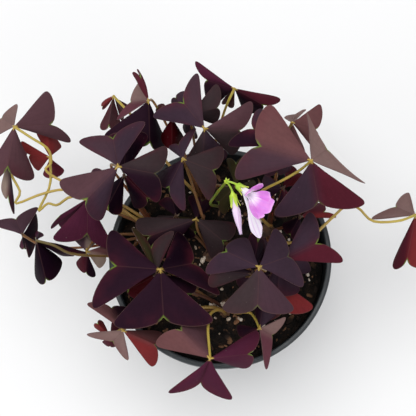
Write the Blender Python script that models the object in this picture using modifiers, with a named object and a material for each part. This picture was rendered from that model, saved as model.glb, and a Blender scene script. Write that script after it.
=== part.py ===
"""A purple oxalis in a 13 cm nursery pot.

The leaves are placed by points that were read by eye in a photograph of the plant, 416 pixels
square, taken from nearly straight above. seen() turns such a point and a height into a place in
the pot's own frame. The origin is the middle of the pot's underside, +Z is up, and the photograph
was taken from the -Y side. Sizes are in millimetres and become metres where a mesh is made.
"""
import math

import bmesh
import bpy
from mathutils import Matrix, Vector

MM = 0.001
GAP = 0.3

POT_HEIGHT = 105.0
RIM_RADIUS = 65.0
LIP_WIDTH = 3.2
LIP_DROP = 2.0
SKIRT_HEIGHT = 12.0
SKIRT_STEP = 1.6
SKIRT_TAPER = 0.6
LIP_EDGE = 1.0
SHOULDER_DEPTH = 3.0
BASE_RADIUS = 46.0
BASE_EDGE = 1.5
WALL = 1.4
FLOOR = 2.0
POT_STEPS = 32
DRAIN_COUNT = 4
DRAIN_RADIUS = 4.0
DRAIN_CIRCLE = 29.0
DRAIN_START = 0.3

SOIL_TOP = 93.0
SOIL_ROUGHNESS = 1.1
SOIL_EDGE_DROP = 2.5
SOIL_RINGS = 4
SOIL_STEPS = 20
HOLE_DEPTH = 7.0
HOLE_SIDES = 12

CROWN_RADIUS = 7.0
CROWN_SIDES = 10
CROWN_TOP_RADIUS = 5.5
CROWN_RISE = 1.5
CROWN_FOOT = 4.0
CROWNS = {
    "west": (-34, 16),
    "north": (-10, 34),
    "east": (28, 18),
    "south": (4, -28),
    "middle": (-4, 4),
}

STALK_RADIUS = 0.75
STALK_FOOT_RADIUS = 1.0
KNUCKLE_RADIUS = 1.15
STUB_LENGTH = 12.0
STALK_POINTS = 5
STALK_GAP = 0.8
SHORTEST_STEP = 0.8
# How far a stalk runs upward before it bends: at its foot and below its hub, as shares of its
# height, at its foot as a share of its way across, on its way to a seen point, and at least.
STALK_LIFT = 0.45
STALK_PULL = 0.4
STALK_LEAN = 0.1
SEEN_PULL = 0.35
LEAST_LIFT = 8.0

BLADE_THICKNESS = 0.7
NOTCH_REACH = 0.82
LOBE_REACH = (0.89, 0.80)
RIB_BREAK = 0.42
LEAST_FALL = 0.15
LEAFLET_START = 0.6
FIRST_DROP = -8.0
SETTLE_STEPS = 25
SETTLE_SHARE = 0.6
# One half of a leaflet's edge from its point to its notch, along and across the midrib,
# as shares of the leaflet's length.
HALF_EDGE = (
    (0.45, 0.41), (0.78, 0.72), LOBE_REACH, (0.97, 0.73), (1.0, 0.46), (0.93, 0.15),
)
# The same points on a leaflet whose lobes have rolled up, so that its edges draw in.
SLIM_HALF_EDGE = (
    (0.45, 0.33), (0.76, 0.64), LOBE_REACH, (0.90, 0.70), (0.87, 0.42), (0.84, 0.15),
)

# The photograph's view: where the middle of the rim is seen, how large a pixel is there,
# and how far away and how steeply the plant was looked down on.
FRAME_MIDDLE_PX = 208.0
RIM_MIDDLE_PX = (220.3, 256.6)
PIXEL_AT_RIM = 0.583
VIEW_DISTANCE = 750.0
VIEW_TILT = math.radians(12.5)

# Each leaf: the pixel of its hub, the hub's height above the rim, the length of its leaflets,
# the crown that it grows from, and for each leaflet the pixels of its left lobe, notch and right
# lobe, looking out from the hub. bow and nod bend the stalk sideways near its foot and near the
# hub, and way lists the pixels and heights of a stalk that is seen in the photograph. slim says
# which of the leaflets have rolled lobes.
LEAVES = {
    "leaf_01": dict(hub=(118, 166.5), rise=72, length=27, crown="west",
                    bow=(-8, 8), nod=(-16, 16), leaflets=(
        ((79, 142), (113, 138.5), (145, 122)),
        ((103, 220), (86.5, 199), (60, 180)),
        ((165, 146), (155, 173.5), (156, 203)))),
    "leaf_02": dict(hub=(204.5, 128.5), rise=58, length=27, crown="north", leaflets=(
        ((153, 117), (183.5, 103), (198, 73.5)),
        ((251, 101), (239.5, 130.5), (232, 155)),
        ((228, 155), (203, 162), (184, 163)))),
    "leaf_03": dict(hub=(183, 159), rise=68, length=25, crown="middle", nod=(0, 8), leaflets=(
        ((168.5, 148), (178.5, 145), (195.5, 127.5)),
        ((222, 146), (213.5, 170.5), (208, 200)),
        ((185, 210), (169, 187), (157, 174)))),
    "leaf_04": dict(hub=(148.5, 100.5), rise=35, length=29, crown="north", nod=(0, 16), leaflets=(
        ((132, 74), (141, 78), (139, 70)),
        ((141.5, 81), (131, 102), (118, 120)),
        ((168, 148), (150, 143), (104, 136)))),
    "leaf_05": dict(hub=(234.5, 88.5), rise=40, length=26, crown="north",
                    way=((228, 102, 36), (223.5, 114, 26)), leaflets=(
        ((211, 108), (207, 80), (196, 61)),
        ((279.5, 97.5), (263, 105), (245, 113)),
        ((234, 107), (227, 103), (221, 101)))),
    "leaf_06": dict(hub=(113.5, 96), rise=0, length=19, crown="north",
                    way=((122, 105, 4), (134, 118, 5), (146, 132, 6), (156, 148, 8)), leaflets=(
        ((101, 126), (109, 125), (119, 122)),
        ((121, 119), (123, 113), (128, 106)),
        ((105, 109), (103, 106), (103, 101)))),
    "leaf_07": dict(hub=(196, 219), rise=24, length=27, crown="middle", nod=(0, -8), leaflets=(
        ((165, 255), (150, 236), (139.5, 218)),
        ((235.5, 223), (223, 241), (211.5, 260)),
        ((188, 197), (202, 201), (213, 206)))),
    "leaf_08": dict(hub=(160.5, 269.5), rise=50, length=32, crown="south",
                    bow=(-8, 0), nod=(0, 8), leaflets=(
        ((94.5, 308.5), (115, 266), (113, 229.5)),
        ((178, 231), (192.5, 263.5), (219, 295)),
        ((213, 320), (163.5, 317), (113.5, 324)))),
    "leaf_09": dict(hub=(259, 267), rise=71, length=27, crown="middle",
                    bow=(0, -8), nod=(16, 0), leaflets=(
        ((207, 274), (226, 251.5), (247, 237)),
        ((274.5, 228.5), (288, 256.5), (302.5, 287)),
        ((294, 309), (257.5, 306), (222, 308)))),
    "leaf_10": dict(hub=(210, 358.5), rise=46, length=28, crown="south",
                    way=((209, 345, 40), (208, 329, 35)), leaflets=(
        ((156.5, 346), (181, 330), (206, 322)),
        ((256, 330), (249, 354), (245, 369)),
        ((232, 400), (200.5, 382.5), (168.5, 393)))),
    "leaf_11": dict(hub=(259.5, 328.5), rise=26, length=19, crown="south", bow=(4, -4),
                    way=((256, 320, 21),), leaflets=(
        ((253, 303), (263, 303), (277, 314)),
        ((265.5, 369.5), (272, 335), (285, 317)),
        ((240, 345), (243, 338), (238, 325)))),
    "leaf_12": dict(hub=(311.5, 160.5), rise=76, length=33, crown="east", bow=(0, -8), slim=(0, 0, 1),
                    way=((300, 170, 65), (283, 180, 59), (262, 191, 44)), leaflets=(
        ((237.5, 180), (259.5, 146), (271, 104)),
        ((365, 203), (318.5, 201.5), (274, 214)),
        ((364.5, 184.5), (327, 149.5), (306, 112)))),
    "leaf_13": dict(hub=(292, 122.5), rise=44, length=23, crown="east", nod=(-8, -8), leaflets=(
        ((320.5, 104), (315.5, 129.5), (314.5, 149)),
        ((306, 110.5), (295, 114.5), (285, 118.5)),
        ((305.5, 151.5), (295, 147), (275, 142)))),
    "leaf_14": dict(hub=(14, 126.5), rise=22, length=28, crown="west", bow=(0, -8),
                    way=((30, 137, 21), (47.7, 148.8, 17), (51.2, 162.8, 12), (45.6, 169.8, 10),
                         (60.4, 180.3, 7), (88, 190, 10)), leaflets=(
        ((46.5, 91), (50.8, 124.7), (69.5, 143)),
        ((35, 177), (7.5, 167.5), (-20, 182)),
        ((17.5, 105), (2, 118), (-12, 140)))),
    "leaf_15": dict(hub=(22.5, 235), rise=20, length=22, crown="west",
                    bow=(8, 0), nod=(16, -16), leaflets=(
        ((-8, 224), (16, 219.5), (38, 207.5)),
        ((36.5, 213), (35, 238), (29.5, 258)),
        ((20, 246), (24, 248), (28, 246)))),
    "leaf_16": dict(hub=(36, 240.5), rise=44, length=26, crown="west", bow=(-8, 0),
                    way=((53, 245, 44), (73, 254, 38), (110, 256, 22)), leaflets=(
        ((63, 261), (46, 279), (34, 277)),
        ((84, 250.5), (72, 253), (61, 256)),
        ((42, 236), (39, 232), (36, 234)))),
    "leaf_17": dict(hub=(88, 198.5), rise=32, length=26, crown="west", leaflets=(
        ((53, 229), (60.5, 215), (65, 226)),
        ((113, 247), (87, 234), (53, 238)),
        ((92, 170), (104, 176), (112, 192)))),
    "leaf_18": dict(hub=(86.5, 251.5), rise=18, length=14, crown="west", nod=(0, 16), leaflets=(
        ((75, 240), (87, 234), (99, 239)),
        ((110, 244), (105, 256), (99, 268)),
        ((96, 275), (86, 272), (76, 263)))),
    "leaf_19": dict(hub=(123, 330.5), rise=24, length=24, crown="south", nod=(0, 8), leaflets=(
        ((161, 331), (154.5, 344.5), (151, 367)),
        ((87.5, 333), (113, 341), (129, 359)),
        ((87, 304), (111.5, 308), (140, 312)))),
    "leaf_20": dict(hub=(415.5, 215), rise=12, length=27, crown="east", bow=(-8, -12),
                    way=((398, 221, 21), (372.7, 221, 18), (358, 207.8, 17), (345, 207, 13),
                         (334, 216, 19), (316, 232.7, 17)), leaflets=(
        ((409, 194), (396, 207), (373, 220)),
        ((432, 262), (407, 259.5), (391.5, 263.5)),
        ((438, 178), (446, 198), (463, 213)))),
    "leaf_21": dict(hub=(282, 260), rise=46, length=28, crown="east", leaflets=(
        ((309, 212), (316.5, 243.5), (342, 262.5)),
        ((250, 262), (256, 247), (262, 236)),
        ((300, 290), (277, 292), (258, 294)))),
    "leaf_22": dict(hub=(272, 275), rise=14, length=24, crown="east", leaflets=(
        ((313, 306), (283, 310), (258, 318)),
        ((286, 250), (300, 259), (309, 273)),
        ((246, 292), (239, 276), (246, 258)))),
    "leaf_23": dict(hub=(8, 160), rise=12, length=24, crown="west",
                    way=((12, 176, 9), (20, 192, 8), (16, 203.5, 7), (40.7, 194.4, 8),
                         (65.3, 189.5, 9), (95, 195, 10)), leaflets=(
        ((15.5, 212), (8, 196), (1, 187)),
        ((20, 145), (26, 156), (24, 168)),
        ((-14, 172), (-15, 158), (-6, 144)))),
    "leaf_24": dict(hub=(50, 157), rise=8, length=18, crown="west",
                    way=((50, 185, 6), (38.6, 210.5, 5), (47.7, 203.5, 6), (57.5, 205, 7),
                         (73, 196.5, 8), (100, 205, 8)), leaflets=(
        ((38, 171), (30, 155), (22, 141)),
        ((36, 133), (48, 136), (62, 146)),
        ((44, 174), (54, 176), (63, 170)))),
    "leaf_25": dict(hub=(283, 146), rise=70, length=26, crown="east", nod=(0, 8), leaflets=(
        ((229, 146), (253.5, 129), (262, 108)),
        ((290, 138), (296, 148), (299, 160)),
        ((292, 168), (277, 172), (262, 172)))),
    "leaf_26": dict(hub=(110, 337), rise=4, length=13, crown="south",
                    way=((120, 330, 6), (136, 322, 6)), leaflets=(
        ((94.5, 328), (98, 324), (103, 321)),
        ((118, 345), (110, 346), (102, 342)),
        ((112, 322), (120, 328), (122, 338)))),
    "leaf_27": dict(hub=(300, 217), rise=26, length=20, crown="east", bow=(8, 0), leaflets=(
        ((318, 202), (324, 212), (335, 218)),
        ((284, 208), (290, 198), (303, 195)),
        ((302, 240), (290, 234), (282, 224)))),
    "leaf_28": dict(hub=(172, 118), rise=43, length=20, crown="north", leaflets=(
        ((184, 138), (172, 147), (160, 137)),
        ((176, 106), (182, 108), (187, 116)),
        ((158, 118), (158, 108), (164, 104)))),
    "leaf_29": dict(hub=(236, 186), rise=43, length=20, crown="north", bow=(-8, 16), leaflets=(
        ((226, 160), (236, 164), (247, 158)),
        ((226, 214), (219, 202), (217, 188)),
        ((255, 180), (253, 196), (245, 206)))),
    "leaf_30": dict(hub=(176, 216), rise=18, length=18, crown="middle", leaflets=(
        ((158, 203), (172, 198.5), (187, 207)),
        ((166, 238), (158, 228), (157, 216)),
        ((200, 220), (195, 232), (186, 238)))),
    "leaf_31": dict(hub=(124, 175), rise=44, length=23, crown="west", bow=(-8, 0), leaflets=(
        ((106, 140), (126, 138), (148, 137)),
        ((156, 182), (147, 198), (134, 208)),
        ((122, 212), (108, 206), (98, 194)))),
    "leaf_32": dict(hub=(190, 114), rise=50, length=22, crown="north", nod=(2, -10), leaflets=(
        ((216, 84), (217, 108), (214, 124)),
        ((172, 106), (176, 98), (188, 92)),
        ((198, 137), (190, 134), (182, 127)))),
    "leaf_33": dict(hub=(156, 275), rise=42, length=26, crown="south", leaflets=(
        ((132, 228), (151, 248), (174, 232)),
        ((146, 300), (128, 290), (118, 276)),
        ((194, 278), (188, 294), (172, 304)))),
    "leaf_34": dict(hub=(252, 274), rise=53, length=21, crown="middle", bow=(0, -8), leaflets=(
        ((212, 288), (217, 270), (222, 252)),
        ((248, 238), (258, 241), (265, 248)),
        ((276, 290), (266, 300), (254, 302)))),
    "leaf_35": dict(hub=(283, 188), rise=42, length=18, crown="east", leaflets=(
        ((287, 166), (297, 173), (305, 182)),
        ((260, 205), (264, 190), (266, 174)),
        ((302, 205), (290, 212), (274, 215)))),
}

# The flower stem, from its foot in the soil to the tuft where the two flowers part.
STEM_RADIUS = 0.9
STEM_FOOT = (4, 30)
STEM_START = (0.0, 8.0, 16.0)
STEM_WAY = ((211, 204.5, 33), (215.9, 194.7, 46), (226.5, 181.6, 72))
STEM_HOLE_RADIUS = 2.8
FLOWER_STALK_RADIUS = 0.6
FLOWER_STALK_BEND = 0.8
TUFT_BRACTS = 4
BRACT_BASE = 1.2
BRACT_SPREAD = 1.6
BRACT_LENGTH = 1.8
BRACT_RADII = (0.9, 0.32)
# Where the two flower stalks end, and the far end of each flower, as pixels and heights.
OPEN_CALYX = (237, 185, 74)
OPEN_MOUTH = (258, 201, 84)
CLOSED_CALYX = (232.5, 193, 68)
CLOSED_TIP = (241, 234.5, 58)

SEPALS = 5
SEPAL_LENGTH = 6.5
SEPAL_THICKNESS = 0.6
SEPAL_START = 1.2
SEPAL_TIP_LEAN = 1.2
# Along a sepal as a share of its length, half its width and how far it leans out there.
SEPAL_ROWS = ((0.0, 0.8, 0.0), (0.6, 0.9, 0.7))
PETAL_CLEARANCE = math.radians(72)
CALYX_BASE = 2.0
CALYX_RADIUS = 1.5
# The calyx cup's levels and radii below its rim, and how much wider than the flower it ends.
CUP_LEVELS = (-1.2, 0.0, 1.0, CALYX_BASE)
CUP_FOOT_RADII = (0.6, 0.8)
CUP_WIDENING = (0.1, 0.35)
PETALS = 5
PETAL_THICKNESS = 0.6
COLUMNS_PER_PETAL = 4
FUNNEL_ROWS = 4
FUNNEL_FOOT = 1.2
FUNNEL_START = 0.8
FLARE_START = 0.4
FLARE_CURVE = 1.5
RISE_CURVE = 0.8
CORE_RADIUS = 1.4
CORE_HEIGHT = 2.5
OPEN_THROAT = 3.2
# The tip of each lobe of the open flower: its angle round the flower, in degrees, and how far
# out from the flower's middle line and how far along that line it lies.
OPEN_LOBES = (
    (100.0, 5.5, 15.0), (32.0, 9.0, 16.0), (-25.0, 8.0, 19.5), (-66.0, 9.8, 21.5),
    (-116.0, 10.5, 21.0),
)
LOBE_NOTCH = 0.42
NOTCH_DEPTH = 2.5
LONG_PETAL_END = (260, 238, 60)
LONG_PETAL_ARCH = 3.0
LONG_PETAL_START = 2.0
# How far along the long petal each step is, and half its width there.
LONG_PETAL_HALVES = ((0.2, 0.7), (0.45, 1.3), (0.7, 2.9), (0.9, 3.3))
CLOSED_RADIUS = 1.7
# Along the closed flower as a share of its length, and its girth there as a share of the radius.
CLOSED_ROWS = ((0.0, 0.72), (0.2, 0.88), (0.45, 1.2), (0.7, 0.93), (0.9, 0.55), (1.0, 0.37))
CLOSED_SIDES = 10
CLOSED_GROOVE = 0.84
CLOSED_TWIST = 0.9

COLORS = {
    "pot": ((0.035, 0.040, 0.046), 0.45),
    "soil": ((0.020, 0.013, 0.009), 0.95),
    "blade": ((0.050, 0.016, 0.034), 0.55),
    "stalk": ((0.42, 0.24, 0.13), 0.50),
    "green": ((0.38, 0.55, 0.06), 0.50),
    "petal": ((0.90, 0.62, 0.88), 0.55),
}


def clear_scene():
    for thing in list(bpy.data.objects):
        bpy.data.objects.remove(thing, do_unlink=True)


def new_collection(name):
    group = bpy.data.collections.new(name)
    bpy.context.scene.collection.children.link(group)
    return group


def make_material(name):
    color, roughness = COLORS[name]
    material = bpy.data.materials.new(name)
    material.use_nodes = True
    shader = material.node_tree.nodes["Principled BSDF"]
    shader.inputs["Base Color"].default_value = (*color, 1.0)
    shader.inputs["Roughness"].default_value = roughness
    shader.inputs["Metallic"].default_value = 0.0
    return material


def add_mesh(name, points, faces, group):
    """An object from points in millimetres."""
    mesh = bpy.data.meshes.new(name)
    mesh.from_pydata([tuple(point * MM) for point in points], [], faces)
    thing = bpy.data.objects.new(name, mesh)
    group.objects.link(thing)
    return thing


def add_shell(name, points, triangles, thickness, group):
    """A blade: an open surface of triangles, thickened to both sides."""
    thing = add_mesh(name, points, triangles, group)
    wall = thing.modifiers.new("thickness", "SOLIDIFY")
    wall.thickness = thickness * MM
    wall.offset = 0.0
    wall.use_even_offset = True
    return as_mesh(thing, name, group)


def as_mesh(thing, name, group):
    """Replace an object by the triangles that its modifiers or its curve give."""
    depsgraph = bpy.context.evaluated_depsgraph_get()
    depsgraph.update()
    mesh = bpy.data.meshes.new_from_object(thing.evaluated_get(depsgraph))
    shape = bmesh.new()
    shape.from_mesh(mesh)
    if thing.type == "CURVE":
        bmesh.ops.remove_doubles(shape, verts=shape.verts, dist=0.001 * MM)
    bmesh.ops.triangulate(shape, faces=shape.faces)
    shape.to_mesh(mesh)
    shape.free()
    solid = bpy.data.objects.new(name, mesh)
    solid.matrix_world = thing.matrix_world
    group.objects.link(solid)
    bpy.data.objects.remove(thing, do_unlink=True)
    return solid


def add_tube(name, route, radii, group):
    """A six-sided round bar along a route, closed at both ends."""
    curve = bpy.data.curves.new(name, "CURVE")
    curve.dimensions = "3D"
    curve.bevel_depth = MM
    curve.bevel_resolution = 1
    curve.use_fill_caps = True
    spline = curve.splines.new("POLY")
    spline.points.add(len(route) - 1)
    for point, place, radius in zip(spline.points, route, radii):
        point.co = (*(place * MM), 1.0)
        point.radius = radius
    thing = bpy.data.objects.new(name, curve)
    group.objects.link(thing)
    return as_mesh(thing, name, group)


def fuse(name, pieces, material, group):
    """One body out of several pieces that run into each other."""
    first, others = pieces[0], pieces[1:]
    loose = bpy.data.collections.new(name + "_pieces")
    bpy.context.scene.collection.children.link(loose)
    for piece in others:
        loose.objects.link(piece)
    union = first.modifiers.new("union", "BOOLEAN")
    union.operation = "UNION"
    union.operand_type = "COLLECTION"
    union.collection = loose
    union.solver = "MANIFOLD"
    body = as_mesh(first, name, group)
    for piece in others:
        bpy.data.objects.remove(piece, do_unlink=True)
    bpy.data.collections.remove(loose)
    body.data.materials.clear()
    body.data.materials.append(material)
    return body


def smooth(thing, degrees):
    thing.data.shade_smooth()
    thing.data.set_sharp_from_angle(angle=math.radians(degrees))


def seen(pixel, height):
    """The place at a height above the rim that the photograph shows at a pixel."""
    back = Vector((0.0, -math.sin(VIEW_TILT), math.cos(VIEW_TILT)))
    up = Vector((0.0, math.cos(VIEW_TILT), math.sin(VIEW_TILT)))
    right = Vector((1.0, 0.0, 0.0))
    rim = Vector((0.0, 0.0, POT_HEIGHT))
    eye = rim + back * VIEW_DISTANCE
    eye -= right * (RIM_MIDDLE_PX[0] - FRAME_MIDDLE_PX) * PIXEL_AT_RIM
    eye += up * (RIM_MIDDLE_PX[1] - FRAME_MIDDLE_PX) * PIXEL_AT_RIM
    across = (pixel[0] - FRAME_MIDDLE_PX) * PIXEL_AT_RIM / VIEW_DISTANCE
    above = (FRAME_MIDDLE_PX - pixel[1]) * PIXEL_AT_RIM / VIEW_DISTANCE
    sight = right * across + up * above - back
    return eye + sight * ((POT_HEIGHT + height - eye.z) / sight.z)


def fall(length, vector):
    """How far the end of an edge of this length lies below its start, from its plan."""
    level = math.hypot(vector.x, vector.y)
    return -math.sqrt(max(length ** 2 - level ** 2, (LEAST_FALL * length) ** 2))


def settle(hub, pixel, rule):
    """The vector from the hub to a point that is seen at a pixel and lies as low as the rule says."""
    drop = FIRST_DROP
    for _ in range(SETTLE_STEPS):
        vector = seen(pixel, hub.z - POT_HEIGHT + drop) - hub
        drop += SETTLE_SHARE * (rule(vector) - drop)
    return seen(pixel, hub.z - POT_HEIGHT + drop) - hub


def leaflet_corners(hub, length, left_px, notch_px, right_px):
    """Vectors from the hub to a leaflet's left lobe, notch and right lobe.

    The notch falls as far as the midrib's length asks. A lobe falls halfway between what its
    distance from the hub and its distance from the notch ask.
    """
    notch = settle(hub, notch_px, lambda vector: fall(NOTCH_REACH * length, vector))
    lobe_length = math.hypot(*LOBE_REACH) * length
    half_width = math.hypot(LOBE_REACH[0] - NOTCH_REACH, LOBE_REACH[1]) * length

    def lobe_fall(vector):
        from_notch = notch.z + fall(half_width, vector - notch)
        return 0.5 * (fall(lobe_length, vector) + from_notch)

    return settle(hub, left_px, lobe_fall), notch, settle(hub, right_px, lobe_fall)


def leaflet_surface(hub, corners, slim):
    """The points and triangles of a leaflet: a fan from its midrib to its notched edge."""
    left, notch, right = corners
    half_edge = SLIM_HALF_EDGE if slim else HALF_EDGE
    along = notch / NOTCH_REACH
    points = [hub + along.normalized() * LEAFLET_START, hub + along * RIB_BREAK, hub + notch]
    root, middle, tip = 0, 1, 2
    triangles = []
    for lobe, turned in ((left, False), (right, True)):
        across = (lobe - along * LOBE_REACH[0]) / LOBE_REACH[1]
        first = len(points)
        points += [hub + along * u + across * v for u, v in half_edge]
        last = first + len(half_edge) - 1
        fan = [(root, middle, first)]
        fan += [(middle, edge + 1, edge) for edge in range(first, last - 1)]
        fan += [(middle, tip, last - 1), (tip, last, last - 1)]
        triangles += [face[::-1] if turned else face for face in fan]
    return points, triangles


def bezier(start, lift, pull, end, count):
    route = []
    for step in range(count):
        t = step / (count - 1)
        s = 1.0 - t
        route.append(start * s ** 3 + lift * 3 * t * s ** 2 + pull * 3 * t ** 2 * s + end * t ** 3)
    return route


def through(points, count):
    """A smooth route through points, with count steps from each to the next."""
    ends = [points[0] * 2 - points[1], *points, points[-1] * 2 - points[-2]]
    route = []
    for before, here, after, beyond in zip(ends, ends[1:], ends[2:], ends[3:]):
        for step in range(count):
            t = step / count
            route.append((here * 2 + (after - before) * t
                          + (before * 2 - here * 5 + after * 4 - beyond) * t ** 2
                          + (here * 3 - before - after * 3 + beyond) * t ** 3) * 0.5)
    return route + [points[-1]]


def stalk_route(leaf):
    """A leaf stalk's route, from its foot in the crown up to the hub."""
    hub = seen(leaf["hub"], leaf["rise"])
    crown = Vector((*CROWNS[leaf["crown"]], SOIL_TOP))
    aim = hub - crown
    foot = crown + Vector((aim.x, aim.y, 0.0)).normalized() * CROWN_FOOT
    bow = Vector((*leaf.get("bow", (0, 0)), 0.0))
    if "way" in leaf:
        way = [seen(stop[:2], stop[2]) for stop in reversed(leaf["way"])] + [hub]
        pull = (way[0] - foot).length * SEEN_PULL
        lift = foot + bow + Vector((0.0, 0.0, pull))
        lead = way[0] + (way[0] - way[1]).normalized() * pull
        return bezier(foot, lift, lead, way[0], STALK_POINTS)[:-1] + through(way, 1)
    nod = Vector((*leaf.get("nod", (0, 0)), 0.0))
    height = hub.z - foot.z
    lean = Vector((aim.x, aim.y, 0.0)) * STALK_LEAN
    lift = foot + bow + lean + Vector((0.0, 0.0, max(STALK_LIFT * height, LEAST_LIFT)))
    pull = hub + nod - Vector((0.0, 0.0, max(STALK_PULL * height, LEAST_LIFT)))
    return bezier(foot, lift, pull, hub, STALK_POINTS + 2)


def cut_route(route, length):
    """Split a route at a length before its end, with the gap between the two halves."""
    upper = [route[-1]]
    left = length
    index = len(route) - 1
    while left > (route[index] - route[index - 1]).length:
        left -= (route[index] - route[index - 1]).length
        index -= 1
        upper.insert(0, route[index])
    step = (route[index - 1] - route[index]).normalized()
    cut = route[index] + step * left
    if (upper[0] - cut).length < SHORTEST_STEP:
        upper.pop(0)
    upper.insert(0, cut)
    lower = route[:index]
    end = cut + step * STALK_GAP
    if (lower[-1] - end).length < SHORTEST_STEP:
        lower.pop()
    return lower + [end], upper


def make_leaf(name, leaf, material, parts, work):
    """Three notched leaflets, fused with the top of their stalk."""
    hub = seen(leaf["hub"], leaf["rise"])
    _, stub = cut_route(stalk_route(leaf), STUB_LENGTH)
    crest = (stub[-1] - stub[-2]).normalized()
    stub = stub[:-1] + [hub - crest * KNUCKLE_RADIUS, hub + crest * KNUCKLE_RADIUS * 0.6]
    radii = [STALK_RADIUS] * (len(stub) - 2) + [KNUCKLE_RADIUS] * 2
    pieces = [add_tube(name + "_stub", stub, radii, work)]
    for number, (pixels, slim) in enumerate(zip(leaf["leaflets"], leaf.get("slim", (0, 0, 0)))):
        corners = leaflet_corners(hub, leaf["length"], *pixels)
        points, triangles = leaflet_surface(hub, corners, slim)
        blade = add_shell(f"{name}_{number}", points, triangles, BLADE_THICKNESS, work)
        pieces.append(blade)
    body = fuse(name, pieces, material, parts)
    smooth(body, 30)
    return body


def make_stalks(crown_name, material, parts, work):
    """The leaf stalks that grow from one crown, fused with it."""
    x, y = CROWNS[crown_name]
    bottom = SOIL_TOP - HOLE_DEPTH + GAP
    top = SOIL_TOP + CROWN_RISE
    shape = bmesh.new()
    bmesh.ops.create_cone(
        shape, cap_ends=True, segments=CROWN_SIDES,
        radius1=CROWN_RADIUS * MM, radius2=CROWN_TOP_RADIUS * MM, depth=(top - bottom) * MM,
        matrix=Matrix.Translation(Vector((x, y, 0.5 * (top + bottom))) * MM))
    mesh = bpy.data.meshes.new("crown")
    shape.to_mesh(mesh)
    shape.free()
    crown = bpy.data.objects.new("crown", mesh)
    work.objects.link(crown)
    pieces = [as_mesh(crown, "crown", work)]
    for name, leaf in LEAVES.items():
        if leaf["crown"] == crown_name:
            lower, _ = cut_route(stalk_route(leaf), STUB_LENGTH)
            lower[0] = lower[0] - Vector((0.0, 0.0, 1.0))
            ease = [step / (len(lower) - 1) for step in range(len(lower))]
            radii = [STALK_FOOT_RADIUS + (STALK_RADIUS - STALK_FOOT_RADIUS) * share for share in ease]
            pieces.append(add_tube(name + "_stalk", lower, radii, work))
    body = fuse("stalks_" + crown_name, pieces, material, parts)
    smooth(body, 40)
    return body


def make_pot(material, parts, cutters):
    """A turned thin-walled pot with a lip, a rim skirt and drainage holes."""
    skirt_foot = POT_HEIGHT - SKIRT_HEIGHT
    wall_top = RIM_RADIUS - SKIRT_STEP - SKIRT_TAPER
    lip_inside = RIM_RADIUS - LIP_WIDTH
    profile = [
        (lip_inside, POT_HEIGHT - LIP_EDGE),
        (lip_inside + LIP_EDGE, POT_HEIGHT),
        (RIM_RADIUS - LIP_EDGE, POT_HEIGHT),
        (RIM_RADIUS, POT_HEIGHT - LIP_EDGE),
        (RIM_RADIUS - SKIRT_TAPER, skirt_foot),
        (wall_top, skirt_foot),
        (BASE_RADIUS, BASE_EDGE),
        (BASE_RADIUS - BASE_EDGE, 0.0),
        (0.0, 0.0),
        (0.0, FLOOR),
        (BASE_RADIUS - WALL, FLOOR),
        (wall_top - WALL, skirt_foot - LIP_DROP),
        (lip_inside, POT_HEIGHT - LIP_DROP - SHOULDER_DEPTH),
    ]
    mesh = bpy.data.meshes.new("pot")
    edges = [(index, (index + 1) % len(profile)) for index in range(len(profile))]
    axis_edge = (profile.index((0.0, 0.0)), profile.index((0.0, FLOOR)))
    edges.remove(axis_edge)
    mesh.from_pydata([(radius * MM, 0.0, height * MM) for radius, height in profile], edges, [])
    pot = bpy.data.objects.new("pot", mesh)
    parts.objects.link(pot)
    turn = pot.modifiers.new("turn", "SCREW")
    turn.angle = math.tau
    turn.steps = POT_STEPS
    turn.render_steps = POT_STEPS
    turn.use_merge_vertices = True
    turn.merge_threshold = 0.0001
    pot.data.materials.append(material)
    for number in range(DRAIN_COUNT):
        angle = math.tau * (number + DRAIN_START) / DRAIN_COUNT
        place = Vector((DRAIN_CIRCLE * math.cos(angle), DRAIN_CIRCLE * math.sin(angle), FLOOR / 2))
        cut_hole(pot, f"drain_{number}", place, DRAIN_RADIUS, FLOOR * 3, cutters)
    return pot


def cut_hole(thing, name, place, radius, depth, cutters):
    """A plain round hole, cut by an upright cylinder round a place."""
    shape = bmesh.new()
    bmesh.ops.create_cone(
        shape, cap_ends=True, segments=HOLE_SIDES,
        radius1=radius * MM, radius2=radius * MM, depth=depth * MM,
        matrix=Matrix.Translation(place * MM))
    mesh = bpy.data.meshes.new(name)
    shape.to_mesh(mesh)
    shape.free()
    cutter = bpy.data.objects.new(name, mesh)
    cutter.display_type = "WIRE"
    cutter.hide_render = True
    cutters.objects.link(cutter)
    hole = thing.modifiers.new(name, "BOOLEAN")
    hole.operation = "DIFFERENCE"
    hole.object = cutter
    hole.solver = "EXACT"


def soil_bump(x, y):
    """The height of the crumbs of soil, from a few crossing waves."""
    broad = math.sin(0.31 * x + 1.3) * math.cos(0.27 * y - 0.4)
    slanting = math.sin(0.19 * (x + 2 * y))
    fine = math.sin(0.83 * x - 0.61 * y)
    return SOIL_ROUGHNESS * (0.62 * broad + 0.38 * slanting + 0.31 * fine)


def wall_radius(height):
    """The inner radius of the pot's wall at a height, from the floor to the rim."""
    top = POT_HEIGHT - SKIRT_HEIGHT - LIP_DROP
    share = min(1.0, (height - FLOOR) / (top - FLOOR))
    bottom_radius = BASE_RADIUS - WALL
    top_radius = RIM_RADIUS - SKIRT_STEP - SKIRT_TAPER - WALL
    return bottom_radius + (top_radius - bottom_radius) * share


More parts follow.
